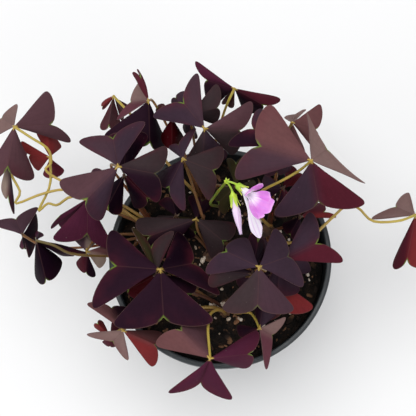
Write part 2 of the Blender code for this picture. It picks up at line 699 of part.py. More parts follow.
def make_soil(material, parts, cutters):
    """A plug of soil with an uneven top and a plain hole for each crown and for the flower stem."""
    bottom = FLOOR + GAP
    edge_top = SOIL_TOP - SOIL_EDGE_DROP
    points = [Vector((0.0, 0.0, SOIL_TOP + soil_bump(0.0, 0.0)))]
    outer = wall_radius(edge_top) - 2 * GAP
    for ring in range(1, SOIL_RINGS + 1):
        radius = outer * ring / SOIL_RINGS
        for step in range(SOIL_STEPS):
            angle = math.tau * (step + 0.5 * (ring % 2)) / SOIL_STEPS
            x, y = radius * math.cos(angle), radius * math.sin(angle)
            height = edge_top if ring == SOIL_RINGS else SOIL_TOP + soil_bump(x, y)
            points.append(Vector((x, y, height)))
    foot = wall_radius(bottom) - 2 * GAP
    last = len(points) - SOIL_STEPS
    inward = foot / outer
    points += [Vector((point.x * inward, point.y * inward, bottom)) for point in points[last:]]
    points.append(Vector((0.0, 0.0, bottom)))
    faces = [(0, 1 + step, 1 + (step + 1) % SOIL_STEPS) for step in range(SOIL_STEPS)]
    for ring in range(1, SOIL_RINGS + 1):
        inner = 1 + (ring - 1) * SOIL_STEPS
        lean = ring % 2
        for step in range(SOIL_STEPS):
            a, b = inner + step, inner + (step + 1) % SOIL_STEPS
            c, d = a + SOIL_STEPS, b + SOIL_STEPS
            straight = ring == SOIL_RINGS or not lean
            faces += [(a, c, d), (a, d, b)] if straight else [(a, c, b), (b, c, d)]
    centre = len(points) - 1
    base = centre - SOIL_STEPS
    faces += [(centre, base + (step + 1) % SOIL_STEPS, base + step) for step in range(SOIL_STEPS)]
    soil = add_mesh("soil", points, faces, parts)
    soil.data.materials.append(material)
    holes = {name: (place, CROWN_RADIUS + 2 * GAP) for name, place in CROWNS.items()}
    holes["flower"] = (STEM_FOOT, STEM_HOLE_RADIUS)
    for name, (place, radius) in holes.items():
        cut_hole(soil, "hole_" + name, Vector((*place, SOIL_TOP)), radius, 2 * HOLE_DEPTH, cutters)
    return soil


def axes(start, end):
    """A turn that takes +Z to the direction from start to end, placed at start."""
    aim = (end - start).normalized()
    return Matrix.Translation(start) @ aim.to_track_quat("Z", "Y").to_matrix().to_4x4()


def sepal(name, place, angle, radius, work):
    """One pointed green sepal that lies close along a flower's base."""
    points = []
    for share, width, lean in SEPAL_ROWS:
        for side in (-1.0, 1.0):
            points.append(Vector((radius + lean, side * width, SEPAL_START + share * SEPAL_LENGTH)))
    points.append(Vector((radius + SEPAL_TIP_LEAN, 0.0, SEPAL_START + SEPAL_LENGTH)))
    turn = place @ Matrix.Rotation(angle, 4, "Z")
    triangles = [(0, 1, 3), (0, 3, 2), (2, 3, 4)]
    return add_shell(name, [turn @ point for point in points], triangles, SEPAL_THICKNESS, work)


def calyx(name, place, radius, angles, work):
    """The cup and sepals of one flower, as loose pieces that run into each other."""
    cup_route = [place @ Vector((0.0, 0.0, level)) for level in CUP_LEVELS]
    cup_radii = [*CUP_FOOT_RADII, *(radius + widening for widening in CUP_WIDENING)]
    pieces = [add_tube(name + "_cup", cup_route, cup_radii, work)]
    for number, angle in enumerate(angles):
        pieces.append(sepal(f"{name}_sepal_{number}", place, angle, radius, work))
    return pieces


def make_flower_stem(material, parts, work):
    """The flower stem with its tuft of bracts, its two flower stalks and both calyxes."""
    tuft = seen(STEM_WAY[-1][:2], STEM_WAY[-1][2])
    foot = Vector((*STEM_FOOT, SOIL_TOP - HOLE_DEPTH + GAP))
    way = [foot + Vector((0.0, 0.0, height)) for height in STEM_START]
    way += [seen(stop[:2], stop[2]) for stop in STEM_WAY]
    route = through(way, 2)
    pieces = [add_tube("flower_stem_bar", route, [STEM_RADIUS] * len(route), work)]
    open_start, open_end = (seen(stop[:2], stop[2]) for stop in (OPEN_CALYX, OPEN_MOUTH))
    closed_start, closed_end = (seen(stop[:2], stop[2]) for stop in (CLOSED_CALYX, CLOSED_TIP))
    petal_end = axes(open_start, open_end).inverted() @ seen(LONG_PETAL_END[:2], LONG_PETAL_END[2])
    petal_angle = math.atan2(petal_end.y, petal_end.x)
    # The open flower's sepals stand further apart where the loose petal comes out.
    spacing = (math.tau - 2 * PETAL_CLEARANCE) / (SEPALS - 1)
    parted = [petal_angle + PETAL_CLEARANCE + spacing * place for place in range(SEPALS)]
    even = [math.tau * place / SEPALS for place in range(SEPALS)]
    for name, start, end, angles in (
            ("open", open_start, open_end, parted), ("closed", closed_start, closed_end, even)):
        place = axes(start, end)
        back = place @ Vector((0.0, 0.0, -1.0))
        bend = (tuft + back) * 0.5 + Vector((0.0, 0.0, FLOWER_STALK_BEND))
        bar = add_tube(name + "_stalk", [tuft, bend, back], [FLOWER_STALK_RADIUS] * 3, work)
        pieces.append(bar)
        pieces += calyx(name, place, CALYX_RADIUS + GAP, angles, work)
    aim = (route[-1] - route[-2]).normalized()
    for number in range(TUFT_BRACTS):
        turn = Matrix.Rotation(math.tau * number / TUFT_BRACTS, 4, aim)
        out = turn @ aim.orthogonal().normalized()
        ends = [tuft - aim * BRACT_BASE, tuft + out * BRACT_SPREAD + aim * BRACT_LENGTH]
        pieces.append(add_tube(f"bract_{number}", ends, BRACT_RADII, work))
    body = fuse("flower_stem", pieces, material, parts)
    smooth(body, 40)
    return body


def lobe_column(column):
    """Angle, reach and level of the funnel's edge at a column, with a notch between two lobes."""
    lobe, step = divmod(column, COLUMNS_PER_PETAL)
    share = step / COLUMNS_PER_PETAL
    here, following = OPEN_LOBES[lobe], OPEN_LOBES[(lobe + 1) % PETALS]
    turn = (here[0] - following[0]) % 360.0
    middle = math.cos(math.pi * share) ** 2
    angle = math.radians(here[0] - turn * share)
    reach = here[1] + (following[1] - here[1]) * share
    level = here[2] + (following[2] - here[2]) * share - NOTCH_DEPTH * (1.0 - middle)
    return angle, reach * (1.0 - LOBE_NOTCH * (1.0 - middle) ** FLARE_CURVE), level


def funnel_surface(place, start):
    """The joined petals: a ring of strips that widens up the tube and flares into five lobes."""
    points, triangles = [], []
    columns = PETALS * COLUMNS_PER_PETAL
    for row in range(FUNNEL_ROWS + 1):
        share = row / FUNNEL_ROWS
        flare = max(0.0, share - FLARE_START) / (1.0 - FLARE_START)
        for column in range(columns):
            tip_angle, reach, tip_level = lobe_column(column)
            foot_angle = math.radians(OPEN_LOBES[0][0]) - math.tau * column / columns
            angle = foot_angle + (tip_angle - foot_angle) * share
            radius = FUNNEL_FOOT + (OPEN_THROAT - FUNNEL_FOOT) * share
            radius += (reach - OPEN_THROAT) * flare ** FLARE_CURVE
            level = start + (tip_level - start) * share ** RISE_CURVE
            points.append(place @ Vector((radius * math.cos(angle), radius * math.sin(angle), level)))
    for row in range(FUNNEL_ROWS):
        for column in range(columns):
            a = row * columns + column
            b = row * columns + (column + 1) % columns
            triangles += [(a, b + columns, b), (a, a + columns, b + columns)]
    return points, triangles


def long_petal_surface(start, end):
    """The one petal that hangs loose: a narrow strip that widens towards its round end."""
    along = end - start
    side = along.cross(Vector((0.0, 0.0, 1.0))).normalized()
    arch = side.cross(along).normalized()
    points = [start]
    for share, width in LONG_PETAL_HALVES:
        middle = start + along * share + arch * LONG_PETAL_ARCH * math.sin(math.pi * share)
        points += [middle - side * width, middle + side * width]
    points.append(end)
    last = len(points) - 1
    triangles = [(0, 2, 1)]
    for left in range(1, last - 2, 2):
        triangles += [(left, left + 1, left + 3), (left, left + 3, left + 2)]
    triangles.append((last - 2, last - 1, last))
    return points, triangles


def make_open_flower(material, parts, work):
    """The open flower: petals joined in a funnel, and one loose petal that hangs from its foot."""
    start, mouth = (seen(stop[:2], stop[2]) for stop in (OPEN_CALYX, OPEN_MOUTH))
    place = axes(start, mouth)
    base = CALYX_BASE + GAP
    core = [place @ Vector((0.0, 0.0, height)) for height in (base, base + CORE_HEIGHT)]
    pieces = [add_tube("open_core", core, [CORE_RADIUS] * 2, work)]
    points, triangles = funnel_surface(place, base + FUNNEL_START)
    pieces.append(add_shell("funnel", points, triangles, PETAL_THICKNESS, work))
    petal_start = place @ Vector((0.0, 0.0, base + LONG_PETAL_START))
    petal_end = seen(LONG_PETAL_END[:2], LONG_PETAL_END[2])
    points, triangles = long_petal_surface(petal_start, petal_end)
    pieces.append(add_shell("long_petal", points, triangles, PETAL_THICKNESS, work))
    body = fuse("open_flower", pieces, material, parts)
    smooth(body, 40)
    return body


def make_closed_flower(material, parts, work):
    """The closed flower: its petals rolled round each other in one slim twisted spindle."""
    start, tip = (seen(stop[:2], stop[2]) for stop in (CLOSED_CALYX, CLOSED_TIP))
    place = axes(start, tip)
    length = (tip - start).length
    base = CALYX_BASE + GAP
    points, faces = [], []
    for share, girth in CLOSED_ROWS:
        for side in range(CLOSED_SIDES):
            angle = math.tau * side / CLOSED_SIDES + CLOSED_TWIST * share
            radius = CLOSED_RADIUS * girth * (1.0 if side % 2 else CLOSED_GROOVE)
            level = base + (length - base) * share
            points.append(place @ Vector((radius * math.cos(angle), radius * math.sin(angle), level)))
    for row in range(len(CLOSED_ROWS) - 1):
        for side in range(CLOSED_SIDES):
            a = row * CLOSED_SIDES + side
            b = row * CLOSED_SIDES + (side + 1) % CLOSED_SIDES
            faces += [(a, b, b + CLOSED_SIDES), (a, b + CLOSED_SIDES, a + CLOSED_SIDES)]
    faces.append(tuple(reversed(range(CLOSED_SIDES))))
    faces.append(tuple(range(len(points) - CLOSED_SIDES, len(points))))
    body = add_mesh("closed_flower", points, faces, parts)
    body.data.materials.append(material)
    smooth(body, 50)
    return body


def main():
    clear_scene()
    parts = new_collection("potted_oxalis")
    cutters = new_collection("cutters")
    work = new_collection("work")
    materials = {name: make_material(name) for name in COLORS}
    make_pot(materials["pot"], parts, cutters)
    make_soil(materials["soil"], parts, cutters)
    for name, leaf in LEAVES.items():
        make_leaf(name, leaf, materials["blade"], parts, work)
    for crown_name in CROWNS:
        make_stalks(crown_name, materials["stalk"], parts, work)
    make_flower_stem(materials["green"], parts, work)
    make_open_flower(materials["petal"], parts, work)
    make_closed_flower(materials["petal"], parts, work)
    bpy.data.collections.remove(work)


main()
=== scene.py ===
import math
import random

import bpy
from mathutils import Matrix, Vector, noise


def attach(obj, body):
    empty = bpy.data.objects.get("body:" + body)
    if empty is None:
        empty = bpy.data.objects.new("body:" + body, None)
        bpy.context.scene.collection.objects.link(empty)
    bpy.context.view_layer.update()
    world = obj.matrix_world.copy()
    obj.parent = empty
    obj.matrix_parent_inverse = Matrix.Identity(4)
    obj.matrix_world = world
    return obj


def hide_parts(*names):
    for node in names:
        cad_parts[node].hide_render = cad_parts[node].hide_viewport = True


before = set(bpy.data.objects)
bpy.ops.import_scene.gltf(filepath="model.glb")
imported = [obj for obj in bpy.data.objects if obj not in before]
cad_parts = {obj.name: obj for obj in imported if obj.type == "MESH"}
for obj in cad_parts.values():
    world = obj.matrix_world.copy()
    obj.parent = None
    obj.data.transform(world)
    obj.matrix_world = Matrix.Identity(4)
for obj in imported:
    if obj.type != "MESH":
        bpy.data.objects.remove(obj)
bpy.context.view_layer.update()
print("frame loaded")

# sizes and places are in millimetres, and mm turns them into metres
mm = 0.001


# hand tools

def pick(*things):
    if bpy.context.object and bpy.context.object.mode != "OBJECT":
        bpy.ops.object.mode_set(mode="OBJECT")
    bpy.ops.object.select_all(action="DESELECT")
    for thing in things:
        thing.select_set(True)
    bpy.context.view_layer.objects.active = things[0]


def editAll(thing, operator, **settings):
    # runs one edit mode operator on the whole mesh
    pick(thing)
    bpy.ops.object.mode_set(mode="EDIT")
    bpy.ops.mesh.select_all(action="SELECT")
    operator(**settings)
    bpy.ops.object.mode_set(mode="OBJECT")


def applyModifiers(thing):
    pick(thing)
    for modifier in list(thing.modifiers):
        bpy.ops.object.modifier_apply(modifier=modifier.name)


def thicken(thing, thickness):
    # leaves the modifier live, so that its materials can still be set
    wall = thing.modifiers.new("thickness", "SOLIDIFY")
    wall.thickness = thickness * mm
    wall.offset = 0.0
    return wall


def copyPiece(master):
    piece = master.copy()
    piece.data = master.data.copy()
    bpy.context.scene.collection.objects.link(piece)
    return piece


def joinAll(name, things):
    pick(*things)
    if len(things) > 1:
        bpy.ops.object.join()
    whole = bpy.context.object
    whole.name = name
    whole.data.name = name
    bpy.ops.object.transform_apply(location=True, rotation=True, scale=True)
    return whole


def smoothen(thing, degrees):
    pick(thing)
    bpy.ops.object.shade_smooth_by_angle(angle=math.radians(degrees))


def dress(things, finish):
    for thing in things:
        thing.data.materials.clear()
        thing.data.materials.append(finish)


def placePiece(piece, node, slotName, *finishes):
    for finish in finishes:
        if finish.name not in piece.data.materials:
            piece.data.materials.append(finish)
    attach(piece, "root")
    if node:
        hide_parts(node)


def paint(thing, name, values):
    # one colour for each vertex, kept as an attribute that the finishes read
    layer = thing.data.attributes.new(name, "FLOAT_COLOR", "POINT")
    layer.data.foreach_set("color", [part for value in values for part in (*value, 1.0)])


def paintPlain(thing, name, value):
    paint(thing, name, [value] * len(thing.data.vertices))


# shader sums

class Sock:
    # wraps a socket, so that shader sums can be written as expressions
    def __init__(self, tree, out):
        self.tree = tree
        self.out = out

    def maths(self, operation, other, turned=False):
        pair = (other, self) if turned else (self, other)
        return addNode(self.tree, "ShaderNodeMath", {"operation": operation}, dict(enumerate(pair)))

    def __add__(self, other):
        return self.maths("ADD", other)

    def __radd__(self, other):
        return self.maths("ADD", other, True)

    def __sub__(self, other):
        return self.maths("SUBTRACT", other)

    def __rsub__(self, other):
        return self.maths("SUBTRACT", other, True)

    def __mul__(self, other):
        return self.maths("MULTIPLY", other)

    def __rmul__(self, other):
        return self.maths("MULTIPLY", other, True)

    def __truediv__(self, other):
        return self.maths("DIVIDE", other)

    def __rtruediv__(self, other):
        return self.maths("DIVIDE", other, True)

    def __pow__(self, other):
        return self.maths("POWER", other)

    def size(self):
        return self.maths("ABSOLUTE", 0.0)

    def wave(self):
        # a sine, from 0 to 1
        return self.maths("SINE", 0.0) * 0.5 + 0.5

    def ramp(self, low, high):
        # 0 below low and 1 above high, with a soft start and end
        return addNode(self.tree, "ShaderNodeMapRange", {"interpolation_type": "SMOOTHSTEP"},
                       {"Value": self, "From Min": low, "From Max": high})


def plug(tree, socket, value):
    if isinstance(value, Sock):
        tree.links.new(value.out, socket)
    else:
        socket.default_value = value


def addNode(tree, kind, settings, inputs, output=0):
    # settings come first, since some of them change the sockets
    node = tree.nodes.new(kind)
    for key, value in settings.items():
        setattr(node, key, value)
    for key, value in inputs.items():
        plug(tree, node.inputs[key], value)
    return Sock(tree, node.outputs[output])


def blend(tree, share, first, second):
    # mixes two colours
    colors = [color if isinstance(color, Sock) else (*color, 1.0) for color in (first, second)]
    return addNode(tree, "ShaderNodeMix", {"data_type": "RGBA"}, {0: share, 6: colors[0], 7: colors[1]}, 2)


def shade(tree, color, factor):
    # makes a colour darker or lighter by a number
    return addNode(tree, "ShaderNodeVectorMath", {"operation": "SCALE"}, {0: color, "Scale": factor})


def grain(tree, place, scale, detail=3.0, rough=0.55, twist=0.0):
    return addNode(tree, "ShaderNodeTexNoise", {}, {"Vector": place, "Scale": scale, "Detail": detail,
                                                    "Roughness": rough, "Distortion": twist})


def spots(tree, place, scale):
    return addNode(tree, "ShaderNodeTexVoronoi", {}, {"Vector": place, "Scale": scale})


def painted(tree, name):
    return addNode(tree, "ShaderNodeAttribute", {"attribute_name": name}, {}, "Color")


def parts(tree, name):
    # the three numbers of a painted attribute
    split = addNode(tree, "ShaderNodeSeparateColor", {}, {0: painted(tree, name)})
    return [Sock(tree, out) for out in split.out.node.outputs]


def relief(tree, shader, height, strength, depth):
    inputs = {"Strength": strength, "Distance": depth * mm, "Height": height}
    bump = addNode(tree, "ShaderNodeBump", {}, inputs)
    plug(tree, shader.inputs["Normal"], bump)


def startFinish(name):
    finish = bpy.data.materials.new(name)
    finish.use_nodes = True
    tree = finish.node_tree
    return finish, tree, tree.nodes["Principled BSDF"], addNode(tree, "ShaderNodeTexCoord", {}, {}, "Object")


def closeFinish(tree, shader, color, rough, **fixed):
    plug(tree, shader.inputs["Base Color"], color)
    plug(tree, shader.inputs["Roughness"], rough)
    for key, value in fixed.items():
        shader.inputs[key.replace("_", " ")].default_value = value


# finishes

# the tones of leaflets: p plum, l light plum, partly a painted sheen, b blue plum, k near black, a painted
# shade deep in the plant, s slate, n brown, w wine, v purple wine, x brown plum, r red, d deep red, m pale
# mauve, g olive
toneColors = dict(
    p=(0.0330, 0.0180, 0.0285), l=(0.0480, 0.0240, 0.0330), b=(0.0145, 0.0045, 0.0105),
    k=(0.0060, 0.0010, 0.0050), s=(0.0350, 0.0225, 0.0245), n=(0.1120, 0.0460, 0.0470),
    w=(0.0620, 0.0085, 0.0160), r=(0.1430, 0.0175, 0.0185), d=(0.0360, 0.0004, 0.0020),
    m=(0.2500, 0.1850, 0.1480), g=(0.0270, 0.0225, 0.0085), v=(0.0560, 0.0105, 0.0260),
    x=(0.0740, 0.0340, 0.0410))

blade = dict(under=(0.090, 0.014, 0.040), lobeRed=(0.075, 0.010, 0.018), midrib=(0.100, 0.045, 0.042),
             base=(0.30, 0.18, 0.030), notch=(0.130, 0.230, 0.022), rim=(0.130, 0.070, 0.056),
             dust=(0.24, 0.19, 0.19), veins=38.0, rough=0.68, shine=0.045)


def makeBladeFinish(name, under):
    finish, tree, shader, place = startFinish(name)
    along, across, edge = parts(tree, "leafPlace")
    greenNotch, redLobe = parts(tree, "bladeExtra")[:2]
    cloud = grain(tree, place, 45.0)
    fine = grain(tree, place, 420.0, 2.0)
    color = painted(tree, "bladeTone")
    if under:
        color = blend(tree, 0.45, color, blade["under"])
    # the lobes are often redder than the middle of the leaflet
    color = blend(tree, edge.ramp(0.55, 1.0) * cloud.ramp(0.35, 0.7) * redLobe, color, blade["lobeRed"])
    # veins fan out from the leaflet's point
    sway = grain(tree, place, 90.0, 1.0) * 0.5
    veins = (across / (along + 0.06) * blade["veins"] + sway).wave() ** 6.0
    veinFade = along.ramp(0.05, 0.3)
    color = shade(tree, color, 0.74 + cloud * 0.45 + fine * 0.26 - veins * veinFade * 0.05)
    midrib = 1.0 - across.size().ramp(0.003, 0.016)
    color = blend(tree, midrib * 0.22, color, blade["midrib"])
    base = 1.0 - along.ramp(0.015, 0.075)
    color = blend(tree, base * 0.85, color, blade["base"])
    notch = (1.0 - across.size().ramp(0.02, 0.12)) * edge.ramp(0.93, 0.995)
    color = blend(tree, notch * greenNotch, color, blade["notch"])
    color = blend(tree, edge.ramp(0.970, 1.0) * 0.45, color, blade["rim"])
    dust = (1.0 - spots(tree, place, 260.0).ramp(0.04, 0.10)) * grain(tree, place, 30.0).ramp(0.50, 0.72)
    color = blend(tree, dust * 0.45, color, blade["dust"])
    relief(tree, shader, veins * veinFade * 0.22 + fine * 0.45 - midrib * 0.8, 0.35, 0.4)
    closeFinish(tree, shader, color, blade["rough"] + cloud * 0.14 - veins * 0.04,
                Specular_IOR_Level=blade["shine"])
    return finish


bladeRim = dict(dark=(0.085, 0.030, 0.036), light=(0.16, 0.085, 0.07), notch=(0.20, 0.34, 0.04), rough=0.55)


def makeEdgeFinish():
    finish, tree, shader, place = startFinish("bladeEdge")
    along, across = parts(tree, "leafPlace")[:2]
    color = blend(tree, grain(tree, place, 60.0).ramp(0.35, 0.7), bladeRim["dark"], bladeRim["light"])
    notch = (1.0 - across.size().ramp(0.05, 0.20)) * along.ramp(0.7, 0.8)
    color = blend(tree, notch, color, bladeRim["notch"])
    closeFinish(tree, shader, color, bladeRim["rough"])
    return finish


stalkColors = dict(tan=(0.50, 0.30, 0.085), pink=(0.34, 0.080, 0.060), green=(0.37, 0.31, 0.034),
                   top=(0.36, 0.22, 0.032), rough=0.38, shine=0.45, glow=0.08)


def makeStalkFinish():
    finish, tree, shader, place = startFinish("stalkSkin")
    pink, green, top = parts(tree, "stalkTone")
    cloud = grain(tree, place, 55.0)
    color = blend(tree, pink, stalkColors["tan"], stalkColors["pink"])
    color = blend(tree, green, color, stalkColors["green"])
    color = blend(tree, top * 0.7, color, stalkColors["top"])
    # the pink share also darkens the stalk, a painted shade low in the plant and under the leaves
    color = shade(tree, color, (0.62 + cloud * 0.75) * (1.0 - pink * 0.92))
    relief(tree, shader, grain(tree, place, 700.0, 1.0), 0.25, 0.2)
    closeFinish(tree, shader, color, stalkColors["rough"] + cloud * 0.15,
                Subsurface_Weight=stalkColors["glow"], Specular_IOR_Level=stalkColors["shine"])
    return finish


crownColors = dict(dark=(0.030, 0.012, 0.007), light=(0.12, 0.055, 0.026), rough=0.8)


def makeCrownFinish():
    finish, tree, shader, place = startFinish("crownScales")
    cloud = grain(tree, place, 160.0, 4.0)
    color = blend(tree, cloud.ramp(0.35, 0.65), crownColors["dark"], crownColors["light"])
    relief(tree, shader, cloud, 0.6, 1.0)
    closeFinish(tree, shader, color, crownColors["rough"])
    return finish


greens = dict(dark=(0.30, 0.52, 0.028), light=(0.52, 0.68, 0.045), tip=(0.80, 0.82, 0.12),
              stem=(0.085, 0.110, 0.020), rough=0.42, glow=0.10)


def makeGreenFinish():
    finish, tree, shader, place = startFinish("calyxGreen")
    tip, stem = parts(tree, "greenTone")[:2]
    color = blend(tree, grain(tree, place, 120.0).ramp(0.35, 0.7), greens["dark"], greens["light"])
    color = blend(tree, tip, color, greens["tip"])
    color = blend(tree, stem, color, greens["stem"])
    relief(tree, shader, grain(tree, place, 900.0, 1.0), 0.25, 0.2)
    closeFinish(tree, shader, color, greens["rough"], Subsurface_Weight=greens["glow"])
    return finish


petalColors = dict(white=(0.93, 0.86, 0.93), pink=(0.64, 0.10, 0.62), brightPink=(0.74, 0.19, 0.71),
                   line=(0.60, 0.20, 0.72), edge=(0.86, 0.58, 0.90), rough=0.50, glow=0.15, sheen=0.15)


def makePetalFinish():
    finish, tree, shader, place = startFinish("petalSkin")
    share, across, pinkness = parts(tree, "petalTone")
    cloud = grain(tree, place, 130.0)
    pink = blend(tree, cloud.ramp(0.3, 0.7), petalColors["pink"], petalColors["brightPink"])
    color = blend(tree, pinkness, petalColors["white"], pink)
    lines = (across * 19.0 + cloud * 2.0).wave() ** 5.0
    fade = share.ramp(0.2, 0.6) * (1.0 - share.ramp(0.85, 1.0))
    color = blend(tree, lines * fade * 0.35, color, petalColors["line"])
    color = blend(tree, share.ramp(0.93, 1.0) * 0.4, color, petalColors["edge"])
    relief(tree, shader, lines, 0.20, 0.3)
    closeFinish(tree, shader, color, petalColors["rough"], Subsurface_Weight=petalColors["glow"],
                Sheen_Weight=petalColors["sheen"])
    return finish


plastic = dict(dark=(0.0105, 0.0140, 0.0165), light=(0.0200, 0.0260, 0.0300), scuff=(0.060, 0.066, 0.070),
               dust=(0.14, 0.12, 0.10), rough=0.36, shine=0.5)


def makePotFinish():
    finish, tree, shader, place = startFinish("potPlastic")
    cloud = grain(tree, place, 18.0, 4.0)
    color = blend(tree, cloud.ramp(0.3, 0.7), plastic["dark"], plastic["light"])
    scuffs = grain(tree, place, 70.0, 5.0, 0.5, 1.8)
    color = blend(tree, scuffs.ramp(0.62, 0.74) * 0.35, color, plastic["scuff"])
    dust = (1.0 - spots(tree, place, 330.0).ramp(0.03, 0.10)) * cloud.ramp(0.45, 0.6)
    color = blend(tree, dust * 0.5, color, plastic["dust"])
    relief(tree, shader, grain(tree, place, 1400.0, 2.0) + scuffs * 0.5, 0.18, 0.3)
    closeFinish(tree, shader, color, plastic["rough"] + cloud * 0.18, Specular_IOR_Level=plastic["shine"])
    return finish


mixColors = dict(dark=(0.0040, 0.0027, 0.0021), light=(0.022, 0.0125, 0.0075), bark=(0.15, 0.078, 0.040),
                 grit=(0.30, 0.19, 0.11), rough=0.92, shine=0.25)


def makeSoilFinish():
    finish, tree, shader, place = startFinish("pottingMix")
    cloud = grain(tree, place, 130.0, 6.0, 0.7)
    cells = spots(tree, place, 420.0)
    color = blend(tree, cloud.ramp(0.42, 0.68), mixColors["dark"], mixColors["light"])
    color = blend(tree, grain(tree, place, 310.0, 2.0).ramp(0.66, 0.76), color, mixColors["bark"])
    grit = (1.0 - cells.ramp(0.10, 0.22)) * cloud.ramp(0.55, 0.65)
    color = blend(tree, grit * 0.8, color, mixColors["grit"])
    relief(tree, shader, cloud + grain(tree, place, 900.0) * 0.5 - cells * 0.4, 0.9, 1.5)
    closeFinish(tree, shader, color, mixColors["rough"], Specular_IOR_Level=mixColors["shine"])
    return finish


barkColors = dict(dark=(0.014, 0.007, 0.004), light=(0.19, 0.092, 0.045), rough=0.85, shine=0.3)


def makeBarkFinish():
    finish, tree, shader, place = startFinish("barkChips")
    fibre = grain(tree, place, 350.0, 4.0, 0.5, 1.2)
    tone = grain(tree, place, 75.0, 1.0)
    color = blend(tree, tone.ramp(0.40, 0.62), barkColors["dark"], barkColors["light"])
    color = shade(tree, color, 0.5 + fibre)
    relief(tree, shader, fibre, 0.7, 0.6)
    closeFinish(tree, shader, color, barkColors["rough"], Specular_IOR_Level=barkColors["shine"])
    return finish


perliteColors = dict(dark=(0.42, 0.31, 0.22), light=(0.82, 0.72, 0.60), rough=0.9)


def makePerliteFinish():
    finish, tree, shader, place = startFinish("perliteGrains")
    cloud = grain(tree, place, 240.0)
    color = blend(tree, cloud.ramp(0.3, 0.7), perliteColors["dark"], perliteColors["light"])
    relief(tree, shader, grain(tree, place, 1500.0, 2.0), 0.7, 0.4)
    closeFinish(tree, shader, color, perliteColors["rough"])
    return finish


bladeTop = makeBladeFinish("bladeTop", False)
bladeUnder = makeBladeFinish("bladeUnder", True)
bladeEdge = makeEdgeFinish()
stalkSkin = makeStalkFinish()
crownScales = makeCrownFinish()
calyxGreen = makeGreenFinish()
petalSkin = makePetalFinish()
potPlastic = makePotFinish()
pottingMix = makeSoilFinish()
barkFinish = makeBarkFinish()
perliteFinish = makePerliteFinish()
print("finishes made")


# pot

pot = dict(height=105.0, rim=65.0, lip=3.2, skirt=12.0, step=1.6, neck=0.6, base=46.0, wall=1.4, floor=2.0,
           axis=0.02, middle=20.0, straight=3.0, corners=(1.9, 0.5, 1.3, 0.9),
           segments=144, holes=4, holeRadius=4.0, holeDepth=9.0, holeCircle=29.0, holeTurn=0.3)
skirtFoot = pot["height"] - pot["skirt"]
wallTop = pot["rim"] - pot["step"] - pot["neck"]
innerTop = wallTop - pot["wall"]
innerBase = pot["base"] - pot["wall"]


def turnProfile(name, profile, segments):
    # a ring of edges is extruded and sized from one point of the profile to the next
    radius, height = profile[0]
    bpy.ops.object.select_all(action="DESELECT")
    bpy.ops.mesh.primitive_circle_add(vertices=segments, radius=radius * mm, location=(0.0, 0.0, height * mm))
    thing = bpy.context.object
    thing.name = name
    bpy.ops.object.mode_set(mode="EDIT")
    bpy.ops.mesh.select_all(action="SELECT")
    for nextRadius, nextHeight in profile[1:]:
        rise = (0.0, 0.0, (nextHeight - height) * mm)
        bpy.ops.mesh.extrude_edges_move(TRANSFORM_OT_translate={"value": rise})
        factor = nextRadius / radius
        bpy.ops.transform.resize(value=(factor, factor, 1.0), center_override=(0.0, 0.0, nextHeight * mm))
        radius, height = nextRadius, nextHeight
    bpy.ops.mesh.select_all(action="SELECT")
    bpy.ops.mesh.remove_doubles(threshold=0.02 * mm)
    bpy.ops.mesh.normals_make_consistent(inside=False)
    bpy.ops.object.mode_set(mode="OBJECT")
    bpy.ops.object.transform_apply(location=True, rotation=True, scale=True)
    fillPoles(thing)
    return thing


def fillPoles(thing):
    # the small rings left at the axis are closed with one face each
    pick(thing)
    bpy.ops.object.mode_set(mode="EDIT")
    bpy.ops.mesh.select_mode(type="EDGE")
    bpy.ops.mesh.select_all(action="DESELECT")
    bpy.ops.mesh.select_non_manifold(extend=False, use_wire=False, use_boundary=True, use_multi_face=False,
                                     use_non_contiguous=False, use_verts=False)
    bpy.ops.mesh.fill_holes(sides=0)
    bpy.ops.mesh.select_all(action="SELECT")
    bpy.ops.mesh.normals_make_consistent(inside=False)
    bpy.ops.mesh.select_mode(type="VERT")
    bpy.ops.object.mode_set(mode="OBJECT")


def roundCorner(center, radius, start, end, steps):
    angles = [math.radians(start + (end - start) * step / steps) for step in range(steps + 1)]
    return [(center[0] + radius * math.cos(angle), center[1] + radius * math.sin(angle)) for angle in angles]


def slant(start, end, shares):
    return [tuple(one + (two - one) * share for one, two in zip(start, end)) for share in shares]


